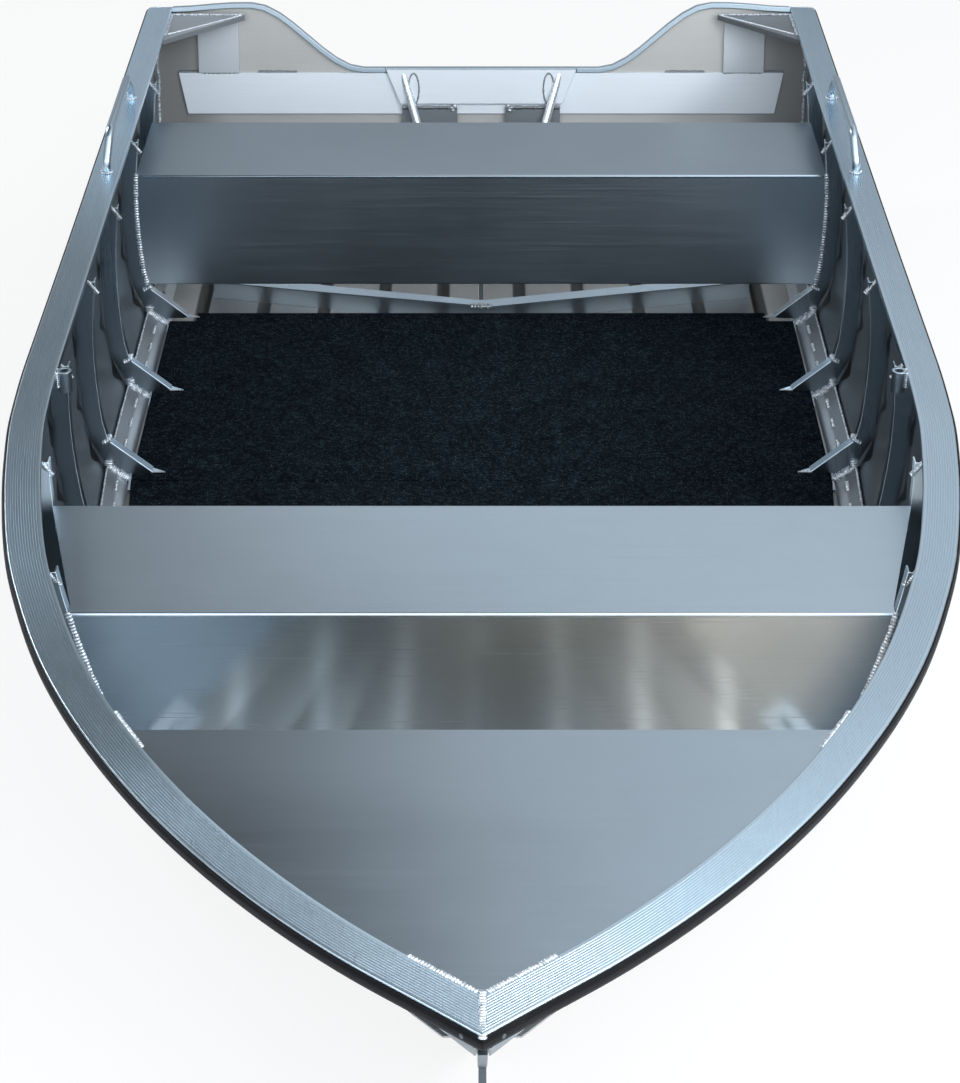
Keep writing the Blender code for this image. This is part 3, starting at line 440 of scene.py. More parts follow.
def fold_of_frame(look):
    """One on the fold just behind each side frame's forward face."""
    back = past(look.y, FRAME_FRONT, FRAME_PITCH) * FRAME_PITCH
    return back.between(0.0003, 0.0008, 0.0028, 0.0040)


def beside_thwart(look):
    """One on the frame that stands at the forward thwart's aft edge."""
    return look.y.between(-0.42, -0.40, -0.32, -0.30) * look.z.ramp(0.34, 0.38)


def frame_shade(look):
    """Painted highlights on folds, painted shade on knees, painted light on one frame by a
    thwart.
    """
    knee = look.z.ramp(0.07, 0.11, 0.55, 1.0)
    return fold_of_frame(look) * 1.2 + knee + beside_thwart(look) * 0.6


def frame_metal(look):
    return 1 - fold_of_frame(look) * 0.8 - beside_thwart(look) * 0.55


def transom_shade(look):
    """Painted shade towards the side sheets and a little painted light low down."""
    return abs(look.x).ramp(0.60, 0.74, 1.0, 0.55) * look.z.ramp(0.20, 0.36, 1.10, 1.0)


PLATE = {"wave": 0.0012, "tint": COOL, "bump": 0.35}
RAIL = {"grain": 0.08, "scratch": 0.08, "tint": BLUE, "bump": 0.35}
LOOKS = {
    "plate": aluminium("satin plate", 0.61, 0.33, 0, **PLATE),
    # Painted shade: the deck darkens towards starboard.
    "deck": aluminium("deck plate", 0.63, 0.33, 0, **PLATE,
                      shade_by=lambda look: look.x.ramp(-0.42, 0.08, 0.50, 0.96)),
    "thwart": aluminium("rolled plate", 0.66, face_sheen, 0, **PLATE),
    "rail": aluminium("extruded rail", 0.66, 0.30, 1, shade_by=rail_shade, **RAIL),
    "cap": aluminium("cap strip", 0.66, 0.30, 1, **RAIL),
    "seat": aluminium("folded seat", 0.53, lambda look: 0.33 - seat_fold(look) * 0.17, 0,
                      metal=seat_metal, shade_by=seat_painted_light, **PLATE),
    "hull": aluminium("hull sheet", 0.30, 0.34, 1, wave=0.0030, cloud=0.10, metal=bow_metal,
                      tint=COOL, shade_by=side_painted_light_and_shade, warm_by=port_bow),
    "bottom": aluminium("fluted bottom", 0.42, 0.40, 1, cloud=0.06, metal=0.6, tint=WARM,
                        shade_by=flute_painted_shade_and_highlight, warm_by=port_bow),
    "transom": aluminium("transom sheet", 0.57, 0.44, 0, cloud=0.07, metal=0.5, tint=WARM,
                         shade_by=transom_shade),
    "frame": aluminium("pressed frame", 0.60, 0.29, 2, cloud=0.10, tint=COOL,
                       metal=frame_metal, shade_by=frame_shade),
    "bar": aluminium("chine bar", 0.44, 0.38, 1, cloud=0.08, metal=0.7,
                     shade_by=bar_shade, warm_by=port_bow),
    "bright": aluminium("bright plate", 1.0, 0.45, 0, cloud=0.03, metal=0.10),
    "stiff": aluminium("stiffener plate", 0.69, 0.42, 2, cloud=0.03, metal=0.4),
    # Painted shade: the gussets darken towards port.
    "gusset": aluminium("gusset", 0.56, 0.40, 0, metal=0.7,
                        shade_by=lambda look: look.x.ramp(-0.1, 0.1, 0.84, 0.44)),
    "seam": aluminium("sooty weld", 0.34, 0.40, 0, cloud=0.2, metal=0.8),
    "stem": aluminium("stem bar", 0.13, 0.40, 2, metal=0.8, tint=COOL),
    "tube": aluminium("tube", 0.90, 0.28, 2, cloud=0.03, metal=0.7),
    "handle": aluminium("bent rod", 0.62, 0.30, 1, cloud=0.03, tint=BLUE, bump=0.35),
    "bracket": aluminium("dark bracket", 0.30, 0.42, 0, metal=0.8),
}
print("metal finishes:", ", ".join(LOOKS))

# %% [markdown]
# ## Weld, rubber and carpet
#
# A weld bead is cleaner and shinier than the sheet beside it, with a little soot in its
# valleys. Rubber is nearly black and dull, rubbed paler where it stands proudest. Carpet
# is short loop pile: thousands of fibre ends, each lighter or darker, over a soft bump.

# %% Weld, rubber and carpet finishes
weld = Finish("weld bead")
soot = weld.noise(160.0, 3.0, 0.6).ramp(0.40, 0.70)
base = weld.blend(soot, (0.76, 0.81, 0.86, 1), (0.28, 0.31, 0.34, 1))
weld.set(Base_Color=base, Roughness=soot * 0.15 + 0.36, Metallic=0.8,
         Normal=weld.bump(weld.noise(900.0, 2.0), 0.0002, 0.4))

rubber = Finish("black rubber")
rub = rubber.noise(38.0, 4.0, 0.7).ramp(0.50, 0.80)
base = rubber.blend(rub, (0.003, 0.003, 0.004, 1), (0.010, 0.010, 0.011, 1))
rubber.set(Base_Color=base, Roughness=rub * 0.2 + 0.5, Specular_IOR_Level=0.14,
           Normal=rubber.bump(rubber.noise(420.0, 3.0), 0.0003, 0.5))

carpet = Finish("navy loop carpet")
pile = carpet.noise(330.0, 3.0, 0.75)
fleck = carpet.noise(125.0, 3.0, 0.85).ramp(0.46, 0.68)
spark = carpet.noise(310.0, 1.0, 0.5).ramp(0.66, 0.76)
patch = carpet.noise(16.0, 4.0, 0.7)
dark = carpet.blend(patch.ramp(0.35, 0.65), (0.0012, 0.0030, 0.0055, 1),
                    (0.0032, 0.0068, 0.0105, 1))
base = carpet.blend(fleck * (patch * 0.7 + 0.35), dark, (0.027, 0.045, 0.058, 1))
base = carpet.blend(spark * (patch * 0.8 + 0.2), base, (0.13, 0.17, 0.20, 1))
carpet.set(Base_Color=base, Roughness=0.95, Specular_IOR_Level=0.04,
           Normal=carpet.bump(pile + fleck * 0.5, 0.003, 0.9))
LOOKS.update(weld=weld.material, rubber=rubber.material, carpet=carpet.material,
             board=aluminium("board edge", 0.30, 0.55, 0, bump=0.35))

# %% [markdown]
# ## Easing the edges
#
# No folded sheet has a sharp fold. The imported node is loose triangles, so a copy is merged,
# its flat faces are made whole again, and then its edges are bevelled in two sizes: wide
# on folds, where two broad faces meet, and narrow on the sheet's cut rim. The copy stands for
# the CAD node, which stays as it is for collision, hidden.

# %% Copy, merge and bevel a CAD node
PIECES = []


def ready(ob, look, *stands_for):
    """Every piece: finish, slot, body and the nodes it stands for."""
    ob.data.materials.clear()
    ob.data.materials.append(LOOKS[look])
    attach(ob, "root")
    if stands_for:
        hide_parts(*stands_for)
    PIECES.append(ob)
    return ob


def linked(name, data):
    """A new object in the scene."""
    ob = bpy.data.objects.new(name, data)
    bpy.context.scene.collection.objects.link(ob)
    return ob


def as_mesh(ob):
    """The object's mesh with its modifiers and bevels carried out."""
    shown = ob.evaluated_get(bpy.context.evaluated_depsgraph_get())
    return bpy.data.meshes.new_from_object(shown)


def applied(ob):
    """Carry out the modifiers and drop them."""
    mesh = as_mesh(ob)
    ob.modifiers.clear()
    ob.data = mesh
    return ob


def smoothed(name, mesh, angle):
    """A mesh as an object, smooth but for edges past an angle."""
    mesh.shade_smooth()
    mesh.set_sharp_from_angle(angle=math.radians(angle))
    return linked(name, mesh)


def outward(bm):
    bmesh.ops.recalc_face_normals(bm, faces=bm.faces)


def new_object(name, bm, angle=35):
    mesh = bpy.data.meshes.new(name)
    bm.to_mesh(mesh)
    bm.free()
    return smoothed(name, mesh, angle)


def merged(node):
    bm = bmesh.new()
    bm.from_mesh(NODES[node].data)
    bmesh.ops.remove_doubles(bm, verts=bm.verts, dist=1e-5)
    bmesh.ops.dissolve_limit(bm, angle_limit=math.radians(0.6), verts=bm.verts,
                             edges=bm.edges)
    return bm


def breadth_beside(edge):
    return min(f.calc_area() for f in edge.link_faces) / max(edge.calc_length(), 1e-6)


def round_over(bm, edges, size, segments):
    edges = [e for e in edges if e.is_valid]
    if edges and size:
        bmesh.ops.bevel(bm, geom=edges, offset=size, segments=segments, profile=0.5,
                        affect="EDGES", clamp_overlap=True)


def ease(bm, rim, fold):
    """Round the folds, then the rims."""
    def sharp(edge):
        return len(edge.link_faces) == 2 and edge.calc_face_angle(0) > math.radians(28)

    wide = [e for e in bm.edges if sharp(e) and breadth_beside(e) > 0.007]
    outer, inner = [[e for e in wide if e.is_convex == way] for way in (True, False)]
    round_over(bm, outer, fold, 3)
    round_over(bm, inner, fold * 0.4, 3)
    round_over(bm, [e for e in bm.edges if sharp(e)], rim, 2)
    return bm


def dress(node, look, rim, fold):
    """An eased copy whose broad faces stay flat-shaded beside their rounded edges."""
    ob = new_object(node + "_dressed", ease(merged(node), rim, fold))
    ob.modifiers.new("normals", "WEIGHTED_NORMAL").keep_sharp = True
    return ready(applied(ob), look, node)


# %% [markdown]
# One table says which finish and which edge radii each sheet, frame and fitting has.

# %% Dress the sheets and frames
SIDES, FRAMES = ("port", "starboard"), 7
DRESS = {
    "foredeck": ("deck", 0.0006, 0.004), "thwart_aft": ("seat", 0.0007, 0.0055),
    "thwart_forward": ("thwart", 0.0007, 0.0055), "keel_and_stem": ("stem", 0.0015, 0),
    "transom": ("transom", 0.0008, 0), "doubler": ("bright", 0.0010, 0),
    "engine_pad_inner": ("bright", 0.0012, 0), "engine_pad_outer": ("bright", 0.0012, 0),
    "engine_pad_strip": ("cap", 0.0008, 0), "bow_eye": ("stem", 0.0014, 0),
    "floor_frame_aft": ("plate", 0.0006, 0.0026),
}
for side in SIDES:
    DRESS.update({
        "hull_bottom_" + side: ("bottom", 0, 0), "hull_side_" + side: ("hull", 0, 0),
        "chine_bar_" + side: ("bar", 0.0007, 0), "gusset_" + side: ("gusset", 0.0016, 0),
        "transom_cap_" + side: ("cap", 0.0008, 0.0015), "brace_" + side: ("tube", 0, 0),
        "stiffener_" + side: ("stiff", 0.0010, 0), "rowlock_" + side: ("plate", 0.0008, 0),
        "well_bracket_" + side: ("bracket", 0.0010, 0)})
    for k in range(FRAMES):
        DRESS[f"side_frame_{side}_{k}"] = ("frame", 0.0007, 0.0034)
for k in range(1, FRAMES):
    DRESS[f"floor_frame_{k}"] = ("bright", 0.0006, 0.0020)
for node, (look, rim, fold) in DRESS.items():
    dress(node, look, rim, fold)
print("dressed:", len(DRESS), "nodes,", sum(len(p.data.polygons) for p in PIECES), "faces")

# %% [markdown]
# ## Gunwale
#
# The gunwale is an extrusion with a flat top, and its top carries twelve shallow grooves
# that keep wet feet from slipping. The profile is drawn once, in millimetres across and
# down from its outer top edge, and lofted through sections along the sheer. Both sides
# meet in a mitre at the bow, so each side is cut on the centreline.

# %% Loft profiles along the gunwale
CORNER = 0.015


def sections(step=0.03):
    """Places along the gunwale, close together at the bow and in the aft corner."""
    rows = [-0.14, -0.02, 0.0, 0.012]
    while rows[-1] < LENGTH - 1.5 * step:
        rows.append(rows[-1] + (0.02 if rows[-1] < 0.5 else step))
    return rows + [LENGTH - d for d in (0.0150, 0.0115, 0.0080, 0.0045, 0.0018)] + [LENGTH]


def corner_cut(s):
    """How far the aft outer corner is rounded away."""
    left = max(CORNER - (LENGTH - s), 0.0)
    return CORNER - math.sqrt(CORNER ** 2 - left ** 2)


def closed(bm, rings):
    """Skin over rings of points, closed at both ends."""
    rings = [[bm.verts.new(p) for p in ring] for ring in rings]
    for one, two in zip(rings, rings[1:]):
        for i in range(len(one)):
            j = (i + 1) % len(one)
            bm.faces.new((one[i], one[j], two[j], two[i]))
    bm.faces.new(rings[0])
    bm.faces.new(rings[-1])


def sweep(name, profile, side):
    """Closed profile along the gunwale, cut on the centreline at the bow."""
    bm = bmesh.new()
    rings = [[rail_point(s, out - corner_cut(s) * (1 + out / RAIL_WIDTH), up)
              for out, up in profile] for s in sections()]
    for p in rings[-1]:
        p.y = along(transom_s(p.z) - GAP)
    closed(bm, rings)
    cut = bm.verts[:] + bm.edges[:] + bm.faces[:]
    bmesh.ops.bisect_plane(bm, geom=cut, plane_co=(GAP / 2, 0, 0), plane_no=(-1, 0, 0),
                           clear_outer=True)
    bmesh.ops.contextual_create(bm, geom=[e for e in bm.edges if e.is_boundary])
    if side == "starboard":
        bmesh.ops.scale(bm, vec=(-1, 1, 1), verts=bm.verts)
    outward(bm)
    return new_object(name, bm, 40)


def arc(cx, cy, radius, start, end, steps=3):
    turns = [math.radians(start + (end - start) * i / steps) for i in range(steps + 1)]
    return [(cx + radius * math.cos(turn), cy + radius * math.sin(turn)) for turn in turns]


GROOVES, GROOVE_WIDTH, GROOVE_DEPTH, EDGE = 12, 0.0017, 0.0008, 0.0020
first, last = -RAIL_WIDTH + 0.0075, -0.0060
profile = arc(-EDGE, -EDGE, EDGE, 90, 0)
profile += [(0, -RAIL_HEIGHT), (-RAIL_BOX, -RAIL_HEIGHT), (-RAIL_BOX, -RAIL_LIP)]
profile += [(-RAIL_WIDTH, -RAIL_LIP)] + arc(-RAIL_WIDTH + EDGE, -EDGE, EDGE, 180, 90)
for i in range(GROOVES):
    x = first + (last - first) * i / (GROOVES - 1)
    profile += [(x - GROOVE_WIDTH / 2, 0), (x - GROOVE_WIDTH / 6, -GROOVE_DEPTH),
                (x + GROOVE_WIDTH / 6, -GROOVE_DEPTH), (x + GROOVE_WIDTH / 2, 0)]
for side in SIDES:
    ready(sweep("gunwale_grooved_" + side, profile, side), "rail", "gunwale_" + side)
print("gunwale:", GROOVES, "grooves at", round((last - first) / (GROOVES - 1) * 1000, 1), "mm")

# %% [markdown]
# ## Fender
#
# A strip of black rubber runs round the outside, just below the gunwale's top. Its section
# is a flattened D with a lip along each edge.

# %% Rubber strip
FENDER_OUT, FENDER_TOP, FENDER_HEIGHT = 0.0053, 0.003, 0.019
fender = [(GAP, -FENDER_TOP)] + [
    (FENDER_OUT * a, -FENDER_TOP - FENDER_HEIGHT * b) for a, b in (
        (0.30, 0.0), (0.55, 0.03), (0.62, 0.12), (0.92, 0.22), (1.0, 0.38), (1.0, 0.62),
        (0.92, 0.78), (0.62, 0.88), (0.55, 0.97), (0.30, 1.0))]
fender += [(GAP, -FENDER_TOP - FENDER_HEIGHT)]
for side in SIDES:
    ready(sweep("rubber_strip_" + side, fender, side), "rubber", "fender_" + side)

# %% [markdown]
# ## Grab handles
#
# Each handle is a bent rod. A poly curve with a round bevel gives a smooth tube, and its
# corners are the arcs of a tube bender.

# %% Bent rods
def bent(points, radius, steps=8):
    """Points of a path whose corners are turned into arcs."""
    out = [Vector(points[0])]
    for a, b, c in zip(points, points[1:], points[2:]):
        a, b, c = Vector(a), Vector(b), Vector(c)
        u, v = (a - b).normalized(), (c - b).normalized()
        half = u.angle(v) / 2
        cut = min(radius / math.tan(half), 0.45 * min((a - b).length, (c - b).length))
        turn = cut * math.tan(half)
        middle = b + (u + v).normalized() * (turn / math.sin(half))
        start, end = b + u * cut - middle, b + v * cut - middle
        for i in range(steps + 1):
            t = i / steps
            out.append(middle + (start * (1 - t) + end * t).normalized() * turn)
    return out + [Vector(points[-1])]


def add_line(curve, points, closed=False):
    line = curve.splines.new("POLY")
    line.points.add(len(points) - 1)
    line.use_cyclic_u = closed
    for point, co in zip(line.points, points):
        point.co = (*co, 1)


def curve_mesh(curve):
    """A curve's mesh, without the curve's object."""
    ob = linked("curve", curve)
    mesh = as_mesh(ob)
    bpy.data.objects.remove(ob)
    return mesh


def rod(name, points, radius):
    curve = bpy.data.curves.new(name, "CURVE")
    curve.dimensions = "3D"
    curve.bevel_depth, curve.bevel_resolution, curve.use_fill_caps = radius, 6, True
    add_line(curve, points)
    return smoothed(name, curve_mesh(curve), 50)


HANDLE_S, HANDLE_LENGTH, HANDLE_RADIUS, HANDLE_HEIGHT = 2.720, 0.433, 0.009, 0.0758
HANDLE_RUN, HANDLE_RUN_AFT, HANDLE_LEAN, HANDLE_IN = 0.039, 0.084, 0.006, 0.031
HANDLE_FOOT, HANDLE_BEND = 0.018, 0.030
FEET = {}
for side, sign in zip(SIDES, (1, -1)):
    ends = (HANDLE_S, HANDLE_S + HANDLE_LENGTH)
    pts = [(sign * (rail(s) + 0.0002 - HANDLE_IN - lean), along(s + shift), sheer(s) + up)
           for s, lean, up, shift in (
               (ends[0], 0, GAP, 0), (ends[0], 0, HANDLE_FOOT, 0),
               (ends[0], HANDLE_LEAN, HANDLE_HEIGHT, HANDLE_RUN),
               (ends[1], HANDLE_LEAN, HANDLE_HEIGHT, -HANDLE_RUN_AFT),
               (ends[1], 0, HANDLE_FOOT, 0), (ends[1], 0, GAP, 0))]
    FEET[side] = [Vector(pts[0]), Vector(pts[-1])]
    ready(rod("bent_handle_" + side, bent(pts, HANDLE_BEND), HANDLE_RADIUS), "handle",
          "grab_handle_" + side)

# %% [markdown]
# ## Weld beads
#
# A bead is a row of overlapping drops. One Geometry Nodes tree lays them along any path: it
# resamples the path, sets a flattened ball at each point, turned along the path and lying
# on the surface, and varies their size. Its inputs are named, so each joint can have its
# own width, height and ripple.

# %% Geometry Nodes tree for a bead
def bead_tree():
    tree = bpy.data.node_groups.new("weld bead", "GeometryNodeTree")
    slots = {}
    for name, kind in (("Path", "Geometry"), ("Step", "Float"), ("Width", "Float"),
                       ("Height", "Float"), ("Up", "Vector"), ("Unevenness", "Float"),
                       ("Seed", "Int"), ("Finish", "Material")):
        slots[name] = tree.interface.new_socket(name, in_out="INPUT",
                                                socket_type="NodeSocket" + kind)
    tree.interface.new_socket("Bead", in_out="OUTPUT", socket_type="NodeSocketGeometry")
    given = tree.nodes.new("NodeGroupInput").outputs

    def node(kind, settings=None, out=0, **links):
        return add_node(tree, kind, settings, **links).outputs[out]

    line = node("GeometryNodeMeshToCurve", _0=given["Path"])
    even = node("GeometryNodeResampleCurve", {"mode": "LENGTH"}, Curve=line,
                Length=given["Step"])
    drop = node("GeometryNodeMeshUVSphere", out="Mesh", Segments=8, Rings=5, Radius=0.5)
    run = node("GeometryNodeInputTangent")
    aim = node("FunctionNodeAlignRotationToVector", {"axis": "Z"}, Vector=run)
    lie = node("FunctionNodeAlignRotationToVector", {"axis": "Y", "pivot_axis": "Z"},
               Rotation=aim, Vector=given["Up"])
    step, uneven = Value(tree, given["Step"]), Value(tree, given["Unevenness"])
    size = node("ShaderNodeCombineXYZ", _0=given["Width"], _1=given["Height"], _2=step * 1.35)
    chance = node("FunctionNodeRandomValue", {"data_type": "FLOAT"}, 1, _2=1 - uneven,
                  _3=1 + uneven, Seed=given["Seed"])
    varied = node("ShaderNodeVectorMath", {"operation": "SCALE"}, _0=size, Scale=chance)
    drops = node("GeometryNodeInstanceOnPoints", Points=even, Instance=drop, Rotation=lie,
                 Scale=varied)
    whole = node("GeometryNodeRealizeInstances", Geometry=drops)
    smooth = node("GeometryNodeSetShadeSmooth", Geometry=whole)
    painted = node("GeometryNodeSetMaterial", Geometry=smooth, Material=given["Finish"])
    add_node(tree, "NodeGroupOutput", _0=painted)
    return tree, {name: slot.identifier for name, slot in slots.items()}


BEAD, BEAD_SLOT = bead_tree()


def bead(name, paths, width, height, step, up, uneven, seed, look="weld", both=True):
    """Beads along paths, which are mirrored where both sides have them."""
    if both:
        paths = paths + [[Vector((-p.x, p.y, p.z)) for p in path] for path in paths]
    mesh = bpy.data.meshes.new(name)
    verts = [tuple(p) for path in paths for p in path]
    edges, start = [], 0
    for path in paths:
        edges += [(start + i, start + i + 1) for i in range(len(path) - 1)]
        start += len(path)
    mesh.from_pydata(verts, edges, [])
    ob = linked(name, mesh)
    mod = ob.modifiers.new("bead", "NODES")
    mod.node_group = BEAD
    for slot, value in dict(Step=step, Width=width, Height=height, Up=up, Seed=seed,
                            Unevenness=uneven, Finish=LOOKS[look]).items():
        mod[BEAD_SLOT[slot]] = value
    return ready(applied(ob), look)





def moved(p, x, y, z):
    return p + Vector((x, y, z))


def evenly(start, end, count=9):
    """Points at equal steps from start to end."""
    return [start.lerp(end, i / (count - 1)) for i in range(count)]





def dashes(path, dash, pitch, first):
    """Cut a path into stitches."""
    marks = [0.0]
    for a, b in zip(path, path[1:]):
        marks.append(marks[-1] + (b - a).length)

    def at(d):
        i = 0
        while i < len(marks) - 2 and d > marks[i + 1]:
            i += 1
        return path[i].lerp(path[i + 1], (d - marks[i]) / (marks[i + 1] - marks[i]))

    out, d = [], first
    while d + dash < marks[-1]:
        out.append([at(d + dash * i / 3) for i in range(4)])
        d += pitch
    return out


# %% [markdown]
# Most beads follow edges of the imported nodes, so their paths are read from the nodes'
# own corners: the web of each side frame, the ends of the thwarts, the chine bars.

# %% Paths read from the nodes
def skin(*names):
    """The faces of some nodes, ready for rays."""
    verts, faces = [], []
    for name in names:
        base = len(verts)
        verts += [v.co.copy() for v in NODES[name].data.vertices]
        faces += [[base + i for i in f.vertices] for f in NODES[name].data.polygons]
    return BVHTree.FromPolygons(verts, faces)


def corners(node):
    """Each corner of a node once."""
    places = {tuple(round(c, 5) for c in v.co) for v in NODES[node].data.vertices}
    return [Vector(p) for p in sorted(places)]


def rows_of(points, axis, size):
    """Corners grouped by their place along one axis."""
    rows = {}
    for p in points:
        rows.setdefault(round(p[axis], size), []).append(p)
    return [rows[key] for key in sorted(rows)]


def inmost(points):
    return min(points, key=lambda p: p.x)


def outmost(points):
    return max(points, key=lambda p: p.x)


def forward_face(node):
    """The corners of a node's foremost face."""
    points = corners(node)
    y = min(p.y for p in points)
    return [p for p in points if p.y < y + 1e-4]


def web_of(k):
    """Side frame k: toe, bend, its web's two upper corners and its forward face's y."""
    face = forward_face(f"side_frame_port_{k}")
    toe = inmost(face)
    rows = rows_of([p for p in face if p.z > toe.z - 1e-5], 2, 2)
    web = [row for row in rows if outmost(row).x - inmost(row).x > 0.025
           and min(p.z for p in row) > 0.08]
    return toe, inmost(web[0]), inmost(web[-1]), outmost(web[-1]), toe.y


WEBS = [web_of(k) for k in range(FRAMES)]
tabs, lumps = [], []
for toe, bend, top_in, top_out, y in WEBS:
    tabs.append([moved(top_in.lerp(top_out, 0.45), 0, -0.001, 0.003),
                 moved(top_in, -0.003, 0.004, -0.024)])
    lumps.append([moved(bend, -0.002, 0.020, 0.001), moved(bend, -0.002, 0, 0.001),
                  moved(bend, 0.010, -0.0015, -0.004)])
bead("frame_top_welds", tabs, 0.011, 0.007, 0.0040, (-0.4, -0.7, 0.5), 0.08, 3)
bead("knee_bend_welds", lumps, 0.012, 0.008, 0.0042, (0, -0.5, 0.8), 0.25, 4)


def bar_line(share, lift=0.0):
    """Along a chine bar's inner face: share 0 at its lower edge, 1 at its upper."""
    line = []
    for row in rows_of(corners("chine_bar_port"), 1, 3):
        if len(row) == 4:
            row.sort(key=lambda p: p.z)
            a, b = inmost(row[:2]), inmost(row[2:])
            across = (b - a).normalized()
            line.append(a.lerp(b, share) + Vector((-across.z, 0, across.x)) * lift)
    return line


bar_low, bar_mid, bar_up = bar_line(0.05, 0.001), bar_line(0.52, 0.0005), bar_line(1.0)
bead("chine_stitches", dashes(bar_mid, 0.034, 0.090, 0.03), 0.010, 0.006, 0.0034,
     (-0.7, 0, 0.7), 0.2, 5)
bead("chine_seam", [bar_up], 0.005, 0.004, 0.0060, (-0.7, 0, 0.7), 0.3, 6)


def along_bar(line, y):
    """Where a line of the chine bar passes y, None beyond its ends."""
    for a, b in zip(line, line[1:]):
        if a.y <= y <= b.y:
            return a.lerp(b, (y - a.y) / (b.y - a.y))


feet = []
for toe, bend, top_in, top_out, y in WEBS:
    high, low = along_bar(bar_up, y), along_bar(bar_low, y)
    if high is not None and low is not None:
        feet.append([moved(high, -0.004, -0.003, 0.012), moved(high, -0.003, -0.004, 0),
                     moved(high.lerp(low, 0.5), -0.002, -0.005, 0.003),
                     moved(low, -0.002, -0.003, 0.004), moved(low, -0.012, -0.002, 0.006)])
bead("knee_foot_welds", feet, 0.022, 0.010, 0.0042, (0, -0.6, 0.7), 0.15, 7)


def front_edge(node):
    """Outer end of a thwart's front face, from low to high, port side."""
    rows = rows_of([p for p in forward_face(node) if p.x > 0.1], 2, 2)
    return [moved(outmost(row), 0.001, -0.001, 0) for row in rows]


ends = [front_edge("thwart_aft"), front_edge("thwart_forward")]
bead("thwart_end_welds", ends, 0.013, 0.007, 0.0060, (0, -1, 0), 0.10, 8)

# %% [markdown]
# The rest follow the gunwale's line or lie on the raked transom: the mitre at the bow, the
# foredeck's corners, the doubler's stitches, the gussets and the feet of the handles.

# %% Beads along the gunwale
apex = next(s / 2000 for s in range(10, 600)
            if rail_point(s / 2000, -RAIL_WIDTH, 0).x > 0)
tip_in, tip_out = rail_point(apex, -RAIL_WIDTH, 0), rail_point(0.0, 0, 0)
mitre_z = sheer(0.03) - 0.0004
mitre = evenly(Vector((0, tip_in.y, mitre_z)), Vector((0, tip_out.y, mitre_z)), 7)
bead("bow_mitre", [mitre], 0.011, 0.0040, 0.0046, (0, 0, 1), 0.10, 9, both=False)


def inner_edge(s0, s1, out=0.0015, up=-0.003, count=8):
    return [rail_point(s0 + (s1 - s0) * i / (count - 1), -RAIL_WIDTH - out, up)
            for i in range(count)]


bow_in = [p for p in inner_edge(apex, apex + 0.075, 0.0, -0.001, 12) if p.x > 0.001]
deck_corner = inner_edge(DECK_LENGTH - 0.085, DECK_LENGTH + 0.004)
bead("deck_welds", [bow_in, deck_corner], 0.009, 0.006, 0.0048, (0, 0, 1), 0.14, 10)

# %% Beads on the transom
NOTCH_FLOOR = -0.1495
DOUBLER_TOP = NOTCH_FLOOR - 0.0096
STITCHES = ((0.456, 0.547, 0.003), (0.598, 0.690, 0.006), (0.700, 0.742, 0.003))
KNOB = ((0.066, 0.090, 0.017), (0.074, 0.094, 0.019), (0.070, 0.100, 0.019))
OFF_PLATE = (0, -1, 0.2)


def on_plate(x0, x1, up, off):
    """Across the transom from x0 to x1."""
    return evenly(on_transom(x0, up, off), on_transom(x1, up, off), 6)


stitches = [on_plate(x0, x1, DOUBLER_TOP + 0.001, off) for x0, x1, off in STITCHES]
shelf = on_plate(0.062, 0.192, NOTCH_FLOOR - 0.093, 0.0175)
oval = [on_transom(0.166 + 0.013 * x, NOTCH_FLOOR - 0.047 + 0.038 * y, 0.0192)
        for x, y in arc(0, 0, 1, 0, 360, 24)]
knob = [on_transom(x, NOTCH_FLOOR - down, off) for x, down, off in KNOB]
bead("transom_stitches", stitches + [shelf], 0.010, 0.007, 0.0050, OFF_PLATE, 0.2, 11, "seam")
bead("brace_ovals", [oval], 0.0045, 0.0035, 0.0040, OFF_PLATE, 0.2, 12, "seam")
bead("shelf_knobs", [knob], 0.014, 0.010, 0.0060, OFF_PLATE, 0.3, 13)

# %% Beads of the gussets, handles and rowlocks
gusset_z = sheer(LENGTH) - RAIL_LIP - GAP
corner_x = rail(LENGTH) - RAIL_WIDTH - 0.002
aft = Vector((corner_x, along(transom_s(gusset_z)) - 0.0285, gusset_z + 0.001))
ahead = Vector((corner_x, along(LENGTH) - 0.030, gusset_z + 0.001))
aft_end, ahead_end = moved(aft, -0.172, 0, 0), moved(ahead, 0, -0.145, 0)
bead("gusset_welds", [evenly(aft, aft_end), evenly(ahead, ahead_end)], 0.009, 0.006, 0.0048,
     (0, 0, 1), 0.14, 14)
rim = (moved(aft_end, 0, -0.004, 0), moved(ahead_end, -0.004, 0, 0))
rim = evenly(rim[0].lerp(rim[1], 0.02), rim[0].lerp(rim[1], 0.98))
bead("gusset_rims", [rim], 0.005, 0.004, 0.0030, (0, 0, 1), 0.0, 21, "tube")
rings = [[moved(foot, x, y, 0.0014) for x, y in arc(0, 0, 0.0105, 0, 360, 20)]
         for foot in FEET["port"]]
bead("handle_foot_welds", rings, 0.006, 0.005, 0.0040, (0, 0, 1), 0.2, 15)
low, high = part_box("rowlock_port")
socket = Vector(((low.x + high.x) / 2 + 0.0125, (low.y + high.y) / 2, high.z - 0.003))
posts = [evenly(moved(socket, 0, y, 0), moved(socket, 0, y, -0.026), 6)
         for y in (-0.0085, 0.0085)]
bead("rowlock_welds", posts, 0.007, 0.006, 0.0042, (-0.6, -0.8, 0), 0.2, 16)

